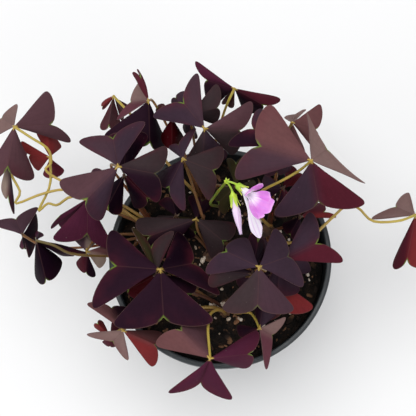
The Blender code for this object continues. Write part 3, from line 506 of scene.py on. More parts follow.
def makePot():
    top, rim, base = pot["height"], pot["rim"], pot["base"]
    lipInner = rim - pot["lip"]
    baseCorner, skirtCorner, rimCorner, lipCorner = pot["corners"]
    # up the outside, over the lip and down the inside
    profile = [(pot["axis"], 0.0), (pot["middle"], 0.0), (base - 3.0, 0.0)]
    profile += roundCorner((base - 2.0, baseCorner), baseCorner, -80, -12, 5)
    profile += slant((base, pot["straight"]), (wallTop, skirtFoot - 1.0), (0.03, 0.2, 0.4, 0.6, 0.8, 0.985))
    profile += [(wallTop, skirtFoot - 0.15), (wallTop + 0.15, skirtFoot)]
    profile += roundCorner((rim - 1.1, skirtFoot + skirtCorner), skirtCorner, -90, -5, 4)
    profile += [(rim - 0.4, skirtFoot + 4.0), (rim - 0.15, top - 3.0)]
    profile += roundCorner((rim - rimCorner, top - rimCorner), rimCorner, 0, 90, 7)
    profile += roundCorner((lipInner + lipCorner, top - lipCorner), lipCorner, 90, 180, 5)
    profile += [(lipInner, top - 5.0), (innerTop, skirtFoot - 2.0)]
    profile += slant((innerBase, pot["straight"]), (innerTop, skirtFoot - 3.0), (0.8, 0.5, 0.2, 0.02))
    profile += [(innerBase - 1.0, pot["floor"]), (pot["middle"], pot["floor"]), (pot["axis"], pot["floor"])]
    body = turnProfile("potBody", profile, pot["segments"])
    for number in range(pot["holes"]):
        angle = math.tau * (number + pot["holeTurn"]) / pot["holes"]
        place = Vector((pot["holeCircle"] * math.cos(angle), pot["holeCircle"] * math.sin(angle), 1.0)) * mm
        bpy.ops.mesh.primitive_cylinder_add(vertices=40, radius=pot["holeRadius"] * mm,
                                            depth=pot["holeDepth"] * mm, location=place)
        cutter = bpy.context.object
        hole = body.modifiers.new("drain", "BOOLEAN")
        hole.operation = "DIFFERENCE"
        hole.solver = "EXACT"
        hole.object = cutter
        applyModifiers(body)
        bpy.data.objects.remove(cutter)
    smoothen(body, 32)
    placePiece(body, "pot", "pot", potPlastic)


makePot()
print("pot made")


# soil

soil = dict(top=93.0, rough=1.1, lumps=0.9, crumbs=0.45, bottom=2.3, gap=0.6, rings=56, segments=220,
            edgeDrop=2.5, edgeWidth=6.0, edgeCurve=0.6)
edgeTop = soil["top"] - soil["edgeDrop"]
soilEdge = innerBase - soil["gap"] + ((innerTop - innerBase) * (edgeTop - pot["floor"])
                                      / (skirtFoot - 2.0 - pot["floor"]))


def soilHeight(x, y):
    # broad waves as in the CAD solid, with lumps and crumbs on them, eased down to the edge at the pot
    waves = math.sin(0.31 * x + 1.3) * math.cos(0.27 * y - 0.4) + 0.6 * math.sin(0.19 * (x + 2 * y))
    height = soil["top"] + soil["rough"] * (waves + 0.5 * math.sin(0.83 * x - 0.61 * y)) / 1.6
    height += noise.fractal(Vector((x * 0.22, y * 0.22, 3.1)), 0.8, 2.2, 4) * soil["lumps"]
    height += noise.fractal(Vector((x * 0.9, y * 0.9, 7.7)), 0.7, 2.1, 3) * soil["crumbs"]
    share = min(1.0, (soilEdge - math.hypot(x, y)) / soil["edgeWidth"])
    return edgeTop + (height - edgeTop) * share ** soil["edgeCurve"]


def makeSoil():
    foot = innerBase - soil["gap"]
    rings = soil["rings"]
    profile = [(radius, soil["bottom"]) for radius in (pot["axis"], foot * 0.5, foot)] + [(soilEdge, edgeTop)]
    profile += [(soilEdge * ring / rings + pot["axis"], soil["top"]) for ring in reversed(range(rings))]
    body = turnProfile("soilFill", profile, soil["segments"])
    for vertex in body.data.vertices:
        if vertex.co.z / mm > soil["top"] - 0.5:
            vertex.co.z = soilHeight(vertex.co.x / mm, vertex.co.y / mm) * mm
    smoothen(body, 50)
    placePiece(body, "soil", "soil", pottingMix)


# sizes are radii, stretch and flat are shares of them along the grain and through it
grains = dict(
    barkChips=dict(finish=barkFinish, count=420, sizes=(0.6, 2.1), flat=(0.25, 0.6), stretch=(1.0, 2.2),
                   seed=11),
    soilCrumbs=dict(finish=pottingMix, count=700, sizes=(0.5, 1.3), flat=(0.6, 1.0), stretch=(0.9, 1.4),
                    seed=12),
    perliteGrains=dict(finish=perliteFinish, count=150, sizes=(0.7, 2.0), flat=(0.7, 1.0), stretch=(0.9, 1.3),
                       seed=13))


def scatterGrains(name, count, sizes, flat, stretch, seed, finish):
    # one rough grain is modelled once, and each copy gets its own size, turn and place
    draw = random.Random(seed)
    bpy.ops.object.select_all(action="DESELECT")
    bpy.ops.mesh.primitive_ico_sphere_add(subdivisions=1, radius=mm)
    master = bpy.context.object
    pieces = []
    for _ in range(count):
        radius = soilEdge * math.sqrt(draw.random()) * 0.97
        angle = math.tau * draw.random()
        x, y = radius * math.cos(angle), radius * math.sin(angle)
        size = sizes[0] + (sizes[1] - sizes[0]) * draw.random() ** 2
        turn = Matrix.Rotation(math.tau * draw.random(), 4, "Z")
        turn = turn @ Matrix.Rotation(draw.uniform(-0.5, 0.5), 4, "X")
        scale = Matrix.Diagonal((size * draw.uniform(*stretch), size * draw.uniform(0.7, 1.0),
                                 size * draw.uniform(*flat), 1.0))
        place = Vector((x, y, soilHeight(x, y) + 0.25 * size * flat[0]))
        piece = copyPiece(master)
        for vertex in piece.data.vertices:
            bump = 1.0 + 0.45 * noise.noise(vertex.co * 900.0 + Vector((x, y, size)))
            vertex.co = turn @ scale @ (vertex.co * bump) + place * mm
        pieces.append(piece)
    bpy.data.objects.remove(master)
    whole = joinAll(name, pieces)
    smoothen(whole, 35)
    placePiece(whole, None, "soil", finish)


makeSoil()
for name, settings in grains.items():
    scatterGrains(name, **settings)
print("soil made")


# places seen in the photograph, in millimetres

# it looks down on the plant: pixels, millimetres a pixel at the rim, distance and tilt
photo = dict(size=416, middle=208.0, rim=(220.3, 256.6), pixel=0.583, distance=750.0, tilt=12.5)


def viewAxes():
    tilt = math.radians(photo["tilt"])
    return Vector((0.0, -math.sin(tilt), math.cos(tilt))), Vector((0.0, math.cos(tilt), math.sin(tilt)))


def eyePlace():
    back, up = viewAxes()
    eye = Vector((0.0, 0.0, pot["height"])) + back * photo["distance"]
    eye.x -= (photo["rim"][0] - photo["middle"]) * photo["pixel"]
    return eye + up * (photo["rim"][1] - photo["middle"]) * photo["pixel"]


def seen(x, y, rise):
    # the place that the photograph shows at a pixel, at a height above the rim
    back, up = viewAxes()
    eye = eyePlace()
    scale = photo["pixel"] / photo["distance"]
    sight = Vector(((x - photo["middle"]) * scale, 0.0, 0.0)) + up * (photo["middle"] - y) * scale - back
    return eye + sight * ((pot["height"] + rise - eye.z) / sight.z)


# leaves

# hub, leaflets and way are pixels: where the leaf's three leaflets meet, each leaflet's left lobe, notch
# and right lobe, and the points of a stalk that shows, with their heights above the rim. rise is the
# hub's height there, bow and nod bend a stalk sideways near its foot and its hub, tones are for the two
# halves of each leaflet, with painted light and shade in some letters, slim is the number of a leaflet with
# rolled lobes, and a shaded stalk is painted dark all along, a painted shade under the leaves
leaves = dict(
    leaf_01=dict(
        hub=(118, 166.5), rise=72, length=27, crown="west", bow=(-8, 8), nod=(-16, 16), tones="lppxsb",
        leaflets=(((79, 142), (113, 138.5), (145, 122)), ((103, 220), (86.5, 199), (60, 180)),
                  ((165, 146), (155, 173.5), (156, 203)))),
    leaf_02=dict(
        hub=(204.5, 128.5), rise=58, length=27, crown="north", tones="plxsps",
        leaflets=(((153, 117), (183.5, 103), (198, 73.5)), ((251, 101), (239.5, 130.5), (232, 155)),
                  ((228, 155), (203, 162), (184, 163)))),
    leaf_03=dict(
        hub=(183, 159), rise=68, length=25, crown="middle", nod=(0, 8), tones="ppsspb",
        leaflets=(((168.5, 148), (178.5, 145), (195.5, 127.5)), ((222, 146), (213.5, 170.5), (208, 200)),
                  ((185, 210), (169, 187), (157, 174)))),
    leaf_04=dict(
        hub=(148.5, 100.5), rise=35, length=29, crown="north", nod=(0, 16), tones="wwmnkb",
        leaflets=(((132, 74), (141, 78), (139, 70)), ((141.5, 81), (131, 102), (118, 120)),
                  ((168, 148), (150, 143), (104, 136)))),
    leaf_05=dict(
        hub=(234.5, 88.5), rise=40, length=26, crown="north", tones="bvwbdd",
        way=((228, 102, 36), (223.5, 114, 26)),
        leaflets=(((211, 108), (207, 80), (196, 61)), ((279.5, 97.5), (263, 105), (245, 113)),
                  ((234, 107), (227, 103), (221, 101)))),
    leaf_06=dict(
        hub=(113.5, 96), rise=0, length=19, crown="north", tones="ggggrr",
        way=((122, 105, 4), (134, 118, 5), (146, 132, 6), (156, 148, 8)),
        leaflets=(((101, 126), (109, 125), (119, 122)), ((121, 119), (123, 113), (128, 106)),
                  ((105, 109), (103, 106), (103, 101)))),
    leaf_07=dict(
        hub=(196, 219), rise=24, length=27, crown="middle", nod=(0, -8), tones="bsssbb",
        leaflets=(((165, 255), (150, 236), (139.5, 218)), ((235.5, 223), (223, 241), (211.5, 260)),
                  ((188, 197), (202, 201), (213, 206)))),
    leaf_08=dict(
        hub=(160.5, 269.5), rise=50, length=32, crown="south", bow=(-8, 0), nod=(0, 8), tones="bbkbbb",
        leaflets=(((94.5, 308.5), (115, 266), (113, 229.5)), ((178, 231), (192.5, 263.5), (219, 295)),
                  ((213, 320), (163.5, 317), (113.5, 324)))),
    leaf_09=dict(
        hub=(259, 267), rise=71, length=27, crown="middle", bow=(0, -8), nod=(16, 0), tones="ppppls",
        leaflets=(((207, 274), (226, 251.5), (247, 237)), ((274.5, 228.5), (288, 256.5), (302.5, 287)),
                  ((294, 309), (257.5, 306), (222, 308)))),
    leaf_10=dict(
        hub=(210, 358.5), rise=46, length=28, crown="south", tones="nxvvvv",
        way=((209, 345, 40), (208, 329, 35)),
        leaflets=(((156.5, 346), (181, 330), (206, 322)), ((256, 330), (249, 354), (245, 369)),
                  ((232, 400), (200.5, 382.5), (168.5, 393)))),
    leaf_11=dict(
        hub=(259.5, 328.5), rise=26, length=19, crown="south", bow=(4, -4), tones="bpnmwb",
        way=((256, 320, 21),),
        leaflets=(((253, 303), (263, 303), (277, 314)), ((265.5, 369.5), (272, 335), (285, 317)),
                  ((240, 345), (243, 338), (238, 325)))),
    leaf_12=dict(
        hub=(311.5, 160.5), rise=76, length=33, crown="east", bow=(0, -8), slim=2, tones="lnwpmm",
        way=((300, 170, 65), (283, 180, 59), (262, 191, 44)),
        leaflets=(((237.5, 180), (259.5, 146), (271, 104)), ((365, 203), (318.5, 201.5), (274, 214)),
                  ((364.5, 184.5), (327, 149.5), (306, 112)))),
    leaf_13=dict(
        hub=(292, 122.5), rise=44, length=23, crown="east", nod=(-8, -8), tones="nnmmnn",
        leaflets=(((320.5, 104), (315.5, 129.5), (314.5, 149)), ((306, 110.5), (295, 114.5), (285, 118.5)),
                  ((305.5, 151.5), (295, 147), (275, 142)))),
    leaf_14=dict(
        hub=(14, 126.5), rise=22, length=28, crown="west", bow=(0, -8), tones="xxxxmm",
        way=((30, 137, 21), (47.7, 148.8, 17), (51.2, 162.8, 12), (45.6, 169.8, 10), (60.4, 180.3, 7),
             (88, 190, 10)),
        leaflets=(((46.5, 91), (50.8, 124.7), (69.5, 143)), ((35, 177), (7.5, 167.5), (-20, 182)),
                  ((17.5, 105), (2, 118), (-12, 140)))),
    leaf_15=dict(
        hub=(22.5, 235), rise=20, length=22, crown="west", bow=(8, 0), nod=(16, -16), shadedStalk=True,
        tones="llkkkk",
        leaflets=(((-8, 224), (16, 219.5), (38, 207.5)), ((36.5, 213), (35, 238), (29.5, 258)),
                  ((20, 246), (24, 248), (28, 246)))),
    leaf_16=dict(
        hub=(36, 240.5), rise=44, length=26, crown="west", bow=(-8, 0), shadedStalk=True, tones="kkkbpp",
        way=((53, 245, 44), (73, 254, 38), (110, 256, 22)),
        leaflets=(((63, 261), (46, 279), (34, 277)), ((84, 250.5), (72, 253), (61, 256)),
                  ((42, 236), (39, 232), (36, 234)))),
    leaf_17=dict(
        hub=(88, 198.5), rise=32, length=26, crown="west", tones="vvvvpp",
        leaflets=(((53, 229), (60.5, 215), (65, 226)), ((113, 247), (87, 234), (53, 238)),
                  ((92, 170), (104, 176), (112, 192)))),
    leaf_18=dict(
        hub=(86.5, 251.5), rise=18, length=14, crown="west", nod=(0, 16), tones="lmnmbw",
        leaflets=(((75, 240), (87, 234), (99, 239)), ((110, 244), (105, 256), (99, 268)),
                  ((96, 275), (86, 272), (76, 263)))),
    leaf_19=dict(
        hub=(123, 330.5), rise=24, length=24, crown="south", nod=(0, 8), tones="nrmmnb",
        leaflets=(((161, 331), (154.5, 344.5), (151, 367)), ((87.5, 333), (113, 341), (129, 359)),
                  ((87, 304), (111.5, 308), (140, 312)))),
    leaf_20=dict(
        hub=(415.5, 215), rise=12, length=27, crown="east", bow=(-8, -12), tones="mmrwnn",
        way=((398, 221, 21), (372.7, 221, 18), (358, 207.8, 17), (345, 207, 13), (334, 216, 19),
             (316, 232.7, 17)),
        leaflets=(((409, 194), (396, 207), (373, 220)), ((432, 262), (407, 259.5), (391.5, 263.5)),
                  ((438, 178), (446, 198), (463, 213)))),
    leaf_21=dict(
        hub=(282, 260), rise=46, length=28, crown="east", tones="pwkpbp",
        leaflets=(((309, 212), (316.5, 243.5), (342, 262.5)), ((250, 262), (256, 247), (262, 236)),
                  ((300, 290), (277, 292), (258, 294)))),
    leaf_22=dict(
        hub=(272, 275), rise=14, length=24, crown="east", shadedStalk=True, tones="rnpppb",
        leaflets=(((313, 306), (283, 310), (258, 318)), ((286, 250), (300, 259), (309, 273)),
                  ((246, 292), (239, 276), (246, 258)))),
    leaf_23=dict(
        hub=(8, 160), rise=12, length=24, crown="west", tones="pmnnww",
        way=((12, 176, 9), (20, 192, 8), (16, 203.5, 7), (40.7, 194.4, 8), (65.3, 189.5, 9),
             (95, 195, 10)),
        leaflets=(((15.5, 212), (8, 196), (1, 187)), ((20, 145), (26, 156), (24, 168)),
                  ((-14, 172), (-15, 158), (-6, 144)))),
    leaf_24=dict(
        hub=(50, 157), rise=8, length=18, crown="west", tones="rrrrrr",
        way=((50, 185, 6), (38.6, 210.5, 5), (47.7, 203.5, 6), (57.5, 205, 7), (73, 196.5, 8),
             (100, 205, 8)),
        leaflets=(((38, 171), (30, 155), (22, 141)), ((36, 133), (48, 136), (62, 146)),
                  ((44, 174), (54, 176), (63, 170)))),
    leaf_25=dict(
        hub=(283, 146), rise=70, length=26, crown="east", nod=(0, 8), tones="bppppp",
        leaflets=(((229, 146), (253.5, 129), (262, 108)), ((290, 138), (296, 148), (299, 160)),
                  ((292, 168), (277, 172), (262, 172)))),
    leaf_26=dict(
        hub=(110, 337), rise=4, length=13, crown="south", tones="rrwwww",
        way=((120, 330, 6), (136, 322, 6)),
        leaflets=(((94.5, 328), (98, 324), (103, 321)), ((118, 345), (110, 346), (102, 342)),
                  ((112, 322), (120, 328), (122, 338)))),
    leaf_27=dict(
        hub=(300, 217), rise=26, length=20, crown="east", bow=(8, 0), shadedStalk=True, tones="wrbwbk",
        leaflets=(((318, 202), (324, 212), (335, 218)), ((284, 208), (290, 198), (303, 195)),
                  ((302, 240), (290, 234), (282, 224)))),
    leaf_28=dict(
        hub=(172, 118), rise=43, length=20, crown="north", shadedStalk=True, tones="ddppdd",
        leaflets=(((184, 138), (172, 147), (160, 137)), ((176, 106), (182, 108), (187, 116)),
                  ((158, 118), (158, 108), (164, 104)))),
    leaf_29=dict(
        hub=(236, 186), rise=43, length=20, crown="north", bow=(-8, 16), shadedStalk=True, tones="gggggg",
        leaflets=(((226, 160), (236, 164), (247, 158)), ((226, 214), (219, 202), (217, 188)),
                  ((255, 180), (253, 196), (245, 206)))),
    leaf_30=dict(
        hub=(176, 216), rise=18, length=18, crown="middle", shadedStalk=True, tones="bkbsgk",
        leaflets=(((158, 203), (172, 198.5), (187, 207)), ((166, 238), (158, 228), (157, 216)),
                  ((200, 220), (195, 232), (186, 238)))),
    leaf_31=dict(
        hub=(124, 175), rise=44, length=23, crown="west", bow=(-8, 0), shadedStalk=True, tones="bkwkkk",
        leaflets=(((106, 140), (126, 138), (148, 137)), ((156, 182), (147, 198), (134, 208)),
                  ((122, 212), (108, 206), (98, 194)))),
    leaf_32=dict(
        hub=(190, 114), rise=50, length=22, crown="north", nod=(2, -10), shadedStalk=True, tones="sspppp",
        leaflets=(((216, 84), (217, 108), (214, 124)), ((172, 106), (176, 98), (188, 92)),
                  ((198, 137), (190, 134), (182, 127)))),
    leaf_33=dict(
        hub=(156, 275), rise=42, length=26, crown="south", shadedStalk=True, tones="gsddbb",
        leaflets=(((132, 228), (151, 248), (174, 232)), ((146, 300), (128, 290), (118, 276)),
                  ((194, 278), (188, 294), (172, 304)))),
    leaf_34=dict(
        hub=(252, 274), rise=53, length=21, crown="middle", bow=(0, -8), shadedStalk=True, tones="spbkpp",
        leaflets=(((212, 288), (217, 270), (222, 252)), ((248, 238), (258, 241), (265, 248)),
                  ((276, 290), (266, 300), (254, 302)))),
    leaf_35=dict(
        hub=(283, 188), rise=42, length=18, crown="east", shadedStalk=True, tones="wdbpwb",
        leaflets=(((287, 166), (297, 173), (305, 182)), ((260, 205), (264, 190), (266, 174)),
                  ((302, 205), (290, 212), (274, 215)))),
)

leaflet = dict(notch=0.82, lobe=(0.89, 0.80), leastFall=0.15, thickness=0.36, across=22, rows=13,
               dome=0.045, wave=0.016, curl=0.035, waves=(4.0, 6.5), greenNotch=(0.1, 1.0),
               redLobe=(0.0, 0.6), firstSeed=100)

# half a leaflet's edge as shares of its length: from its point up the side, and from the notch to the lobe
outlines = dict(
    flat=(((0.0, 0.0), (0.23, 0.20), (0.46, 0.432), (0.68, 0.645), (0.83, 0.776), (0.905, 0.795)),
          ((0.82, 0.0), (0.90, 0.075), (0.955, 0.20), (0.99, 0.36), (1.0, 0.52), (0.985, 0.66), (0.95, 0.755),
           (0.905, 0.795))),
    rolled=(((0.0, 0.0), (0.23, 0.16), (0.46, 0.33), (0.68, 0.545), (0.82, 0.72), (0.905, 0.795)),
            ((0.82, 0.0), (0.845, 0.075), (0.855, 0.20), (0.865, 0.36), (0.88, 0.50), (0.89, 0.62),
             (0.905, 0.73), (0.905, 0.795))))


def pointAlong(points, share):
    # a point on a smooth line through points
    ends = [points[0] * 2 - points[1], *points, points[-1] * 2 - points[-2]]
    index = min(int(share * (len(points) - 1)), len(points) - 2)
    t = share * (len(points) - 1) - index
    before, here, after, beyond = ends[index:index + 4]
    return (here * 2 + (after - before) * t + (before * 2 - here * 5 + after * 4 - beyond) * t ** 2
            + (here * 3 - before - after * 3 + beyond) * t ** 3) * 0.5


def fall(length, vector):
    # how far a line of this length falls on its way out
    level = math.hypot(vector.x, vector.y)
    return -math.sqrt(max(length ** 2 - level ** 2, (leaflet["leastFall"] * length) ** 2))


def settle(hub, pixel, rule):
    # moves a seen point up and down its line of sight until it lies as deep as the rule says
    drop = -8.0
    for _ in range(25):
        vector = seen(*pixel, hub.z - pot["height"] + drop) - hub
        drop += 0.6 * (rule(vector) - drop)
    return seen(*pixel, hub.z - pot["height"] + drop) - hub


def leafletCorners(hub, length, leftPixel, notchPixel, rightPixel):
    lobeU, lobeV = leaflet["lobe"]
    notch = settle(hub, notchPixel, lambda vector: fall(leaflet["notch"] * length, vector))
    lobeLength = math.hypot(lobeU, lobeV) * length
    halfWidth = math.hypot(lobeU - leaflet["notch"], lobeV) * length

    def lobeFall(vector):
        return 0.5 * (fall(lobeLength, vector) + notch.z + fall(halfWidth, vector - notch))

    return settle(hub, leftPixel, lobeFall), notch, settle(hub, rightPixel, lobeFall)


def makeMasterLeaflet(outline):
    # a flat grid drawn to the outline, with its share along, its place across and how near the edge it is
    sideEdge, topEdge = [[Vector(point) for point in line] for line in outline]
    bpy.ops.object.select_all(action="DESELECT")
    bpy.ops.mesh.primitive_grid_add(x_subdivisions=leaflet["across"], y_subdivisions=leaflet["rows"],
                                    size=2.0)
    master = bpy.context.object
    places = []
    for vertex in master.data.vertices:
        side, out = abs(vertex.co.x), (0.5 * (vertex.co.y + 1.0)) ** 0.9
        flat = Vector((leaflet["notch"] * out, 0.0)) * (1.0 - side) + pointAlong(sideEdge, out) * side
        flat += (pointAlong(topEdge, side) - topEdge[0] * (1.0 - side) - topEdge[-1] * side) * out
        vertex.co = (flat.x, math.copysign(flat.y, vertex.co.x), 0.0)
        places.append((vertex.co.x, vertex.co.y, max(out, side * min(1.0, out * 4.0))))
    paint(master, "leafPlace", places)
    editAll(master, bpy.ops.mesh.remove_doubles, threshold=0.5 * mm)
    return master


def mixTones(first, second, share):
    return tuple(one * (1.0 - share) + two * share for one, two in zip(toneColors[first], toneColors[second]))


def makeLeaflet(master, hub, length, corners, tones, draw):
    # the flat outline is laid on the two planes from the midrib to the lobes, then domed and curled
    left, notch, right = corners
    axis = notch / leaflet["notch"]
    lobeU, lobeV = leaflet["lobe"]
    sides = {}
    for sign, lobe in ((1.0, left), (-1.0, right)):
        across = (lobe - axis * lobeU) / lobeV
        sides[sign] = (across, axis.cross(across).normalized() * sign)
    phase, waves = draw.uniform(0.0, math.tau), draw.uniform(*leaflet["waves"])
    extra = (draw.uniform(*leaflet["greenNotch"]), draw.uniform(*leaflet["redLobe"]), 0.0)
    piece = copyPiece(master)
    colors = []
    for vertex in piece.data.vertices:
        u, v = vertex.co.x, vertex.co.y
        across, normal = sides[1.0 if v >= 0.0 else -1.0]
        out, spread = min(1.0, u), min(1.0, abs(v) / max(0.05, 0.92 * u))
        lift = leaflet["dome"] * math.sin(math.pi * out) * math.sin(math.pi * spread)
        lift += leaflet["wave"] * out ** 2 * spread * math.sin(phase + waves * v + 3.0 * u)
        lift -= leaflet["curl"] * out ** 3 * spread ** 2
        vertex.co = (hub + axis * u + across * abs(v) + normal * lift * length) * mm
        colors.append(mixTones(*tones, 0.5 - max(-0.5, min(0.5, 4.0 * v))))
    paint(piece, "bladeTone", colors)
    paintPlain(piece, "bladeExtra", extra)
    return piece


def makeLeaf(name, leaf, masters, seed):
    draw = random.Random(seed)
    hub = seen(*leaf["hub"], leaf["rise"])
    blades = []
    for number, pixels in enumerate(leaf["leaflets"]):
        corners = leafletCorners(hub, leaf["length"], *pixels)
        master = masters["rolled" if leaf.get("slim") == number else "flat"]
        tones = leaf["tones"][2 * number:2 * number + 2]
        blades.append(makeLeaflet(master, hub, leaf["length"], corners, tones, draw))
    whole = joinAll(name + "_blades", blades)
    editAll(whole, bpy.ops.mesh.flip_normals)
    dress([whole], bladeTop)
    whole.data.materials.append(bladeUnder)
    whole.data.materials.append(bladeEdge)
    wall = thicken(whole, leaflet["thickness"])
    wall.material_offset = 1
    wall.material_offset_rim = 2
    applyModifiers(whole)
    smoothen(whole, 40)
    placePiece(whole, name, "blade")


masterLeaflets = {kind: makeMasterLeaflet(outline) for kind, outline in outlines.items()}
for number, (name, leaf) in enumerate(leaves.items()):
    makeLeaf(name, leaf, masterLeaflets, leaflet["firstSeed"] + number)
for master in masterLeaflets.values():
    bpy.data.objects.remove(master)
print("leaves made")


# stalks

crowns = dict(west=(-34, 16), north=(-10, 34), east=(28, 18), south=(4, -28), middle=(-4, 4))
stalk = dict(radius=0.75, foot=1.05, thinBy=1.6, sunk=1.5, steps=36, hubFrom=0.975, hubMore=0.18,
             start=0.1, lift=0.45, pull=0.4, least=8.0, lead=0.35)
star = dict(length=2.3, radius=0.46, rise=0.25)
crown = dict(radius=6.6, top=94.3, depth=2.6, flat=0.62, foot=4.0, lump=0.5, firstSeed=300)


def tubeAlong(name, points, radii, sides=5):
    curve = bpy.data.curves.new(name, "CURVE")
    curve.dimensions = "3D"
    curve.bevel_depth = mm
    curve.bevel_resolution = sides
    curve.use_fill_caps = True
    spline = curve.splines.new("POLY")
    spline.points.add(len(points) - 1)
    for knot, place, radius in zip(spline.points, points, radii):
        knot.co = (*(place * mm), 1.0)
        knot.radius = radius
    thing = bpy.data.objects.new(name, curve)
    bpy.context.scene.collection.objects.link(thing)
    pick(thing)
    bpy.ops.object.convert(target="MESH")
    editAll(bpy.context.object, bpy.ops.mesh.remove_doubles, threshold=0.002 * mm)
    return bpy.context.object


def bendLine(start, lift, pull, end, count):
    line = []
    for step in range(count):
        t = step / (count - 1)
        s = 1.0 - t
        line.append(start * s ** 3 + lift * 3 * t * s ** 2 + pull * 3 * t ** 2 * s + end * t ** 3)
    return line


def stalkLine(leaf):
    # the stalk's middle line, from its crown to its hub, by the same rule as in the CAD part
    hub = seen(*leaf["hub"], leaf["rise"])
    middle = Vector((*crowns[leaf["crown"]], soil["top"]))
    aim = hub - middle
    foot = middle + Vector((aim.x, aim.y, 0.0)).normalized() * crown["foot"]
    bow = Vector((*leaf.get("bow", (0, 0)), 0.0))
    if "way" in leaf:
        way = [seen(*stop) for stop in reversed(leaf["way"])] + [hub]
        pull = (way[0] - foot).length * stalk["lead"]
        lead = way[0] + (way[0] - way[1]).normalized() * pull
        knots = bendLine(foot, foot + bow + Vector((0.0, 0.0, pull)), lead, way[0], 5)[:-1] + way
    else:
        nod = Vector((*leaf.get("nod", (0, 0)), 0.0))
        height = hub.z - foot.z
        rise = aim * stalk["start"]
        rise.z = max(stalk["lift"] * height, stalk["least"])
        pull = hub + nod - Vector((0.0, 0.0, max(stalk["pull"] * height, stalk["least"])))
        knots = bendLine(foot, foot + bow + rise, pull, hub, 7)
    line = [pointAlong(knots, step / stalk["steps"]) for step in range(stalk["steps"] + 1)]
    line[0] = line[0] - Vector((0.0, 0.0, stalk["sunk"]))
    return line


def makeStalk(name, leaf, draw):
    line = stalkLine(leaf)
    hub = line[-1]
    radii = []
    for step, place in enumerate(line):
        share = step / stalk["steps"]
        radius = stalk["foot"] + (stalk["radius"] - stalk["foot"]) * min(1.0, share * stalk["thinBy"])
        swell = stalk["hubMore"] if share > stalk["hubFrom"] else 0.0
        radii.append(radius * (1.0 + 0.05 * noise.noise(place * 0.2)) + swell)
    tube = tubeAlong(name + "_stalk", line, radii)
    # a stalk that shows is yellower. The pink share also darkens a stalk, a painted shade inside the plant:
    # it is high on stalks that don't show, it fades towards the hub, and it stays to the top of a stalk in
    # shade under the leaves
    shows, shadedStalk = "way" in leaf, leaf.get("shadedStalk", False)
    pinkness = 0.25 if shows and not shadedStalk else draw.uniform(0.75, 1.0)
    greenness = 0.75 if shows else draw.uniform(0.0, 0.45)
    reach = (hub - line[0]).length * mm
    tones = []
    for vertex in tube.data.vertices:
        near = max(0.0, 1.0 - (vertex.co - hub * mm).length / (4.0 * mm))
        rise = min(1.0, (vertex.co - line[0] * mm).length / reach)
        fade = 0.85 if shadedStalk else 1.0 - (1.0 if shows else 0.5) * rise
        tones.append((pinkness * fade, greenness * rise, 0.0 if shadedStalk else near))
    paint(tube, "stalkTone", tones)
    return [tube] + makeStar(name, leaf, hub, shadedStalk)


def makeStar(name, leaf, hub, shadedStalk):
    # the joint on top of the stalk, with one arm for each leaflet
    arms = []
    for pixels in leaf["leaflets"]:
        aim = leafletCorners(hub, leaf["length"], *pixels)[1].normalized()
        tip = hub + aim * star["length"] + Vector((0.0, 0.0, 0.15))
        middle = (hub + tip) * 0.5 + Vector((0.0, 0.0, star["rise"]))
        radii = (star["radius"] * 1.25, star["radius"], 0.22)
        arm = tubeAlong(name + "_arm", [hub - aim * 0.3, middle, tip], radii, 3)
        # the arms of a stalk in shade get a high pink share, which paints them dark as shade
        paintPlain(arm, "stalkTone", (0.9, 0.2, 0.0) if shadedStalk else (0.0, 0.5, 0.6))
        arms.append(arm)
    return arms


def makeCrown(x, y):
    place = Vector((x, y, soil["top"] - crown["depth"])) * mm
    bpy.ops.object.select_all(action="DESELECT")
    bpy.ops.mesh.primitive_uv_sphere_add(segments=40, ring_count=20, radius=crown["radius"] * mm,
                                         location=place, scale=(1.0, 1.0, crown["flat"]))
    mound = bpy.context.object
    bpy.ops.object.transform_apply(location=True, rotation=True, scale=True)
    for vertex in mound.data.vertices:
        lump = crown["lump"] * noise.noise(vertex.co * 420.0)
        vertex.co.z = min(vertex.co.z + lump * mm, crown["top"] * mm)
    paintPlain(mound, "stalkTone", (0.5, 0.0, 0.0))
    dress([mound], crownScales)
    return mound


for number, (crownName, place) in enumerate(crowns.items()):
    draw = random.Random(crown["firstSeed"] + number)
    pieces = []
    for name, leaf in leaves.items():
        if leaf["crown"] == crownName:
            pieces += makeStalk(name, leaf, draw)
    dress(pieces, stalkSkin)
    whole = joinAll("stalks_" + crownName + "_fine", pieces + [makeCrown(*place)])
    smoothen(whole, 50)
    placePiece(whole, "stalks_" + crownName, "stalk")
print("stalks made")


# flowers

# pixels with heights above the rim: the stem's way, both calyxes, the open mouth and the tips
flowers = dict(way=((211, 204.5, 33), (215.9, 194.7, 46), (226.5, 181.6, 72)),
               openCalyx=(237, 185, 74), openMouth=(258, 201, 84), closedCalyx=(232.5, 193, 68),
               closedTip=(241, 234.5, 58), longPetalEnd=(260, 238, 60))
flowerStem = dict(foot=(4, 30), bottom=86.3, straight=(0.0, 8.0, 16.0), radius=0.9, steps=40)
twig = dict(radius=0.6, slim=0.1, steps=8, rise=1.6, lead=0.6)
bract = dict(count=6, radii=(0.8, 0.62, 0.45, 0.1))
calyx = dict(base=2.0, radius=1.5, gap=0.3, sepals=5, length=6.5, halfWidth=0.95, thickness=0.35,
             clearance=72.0)
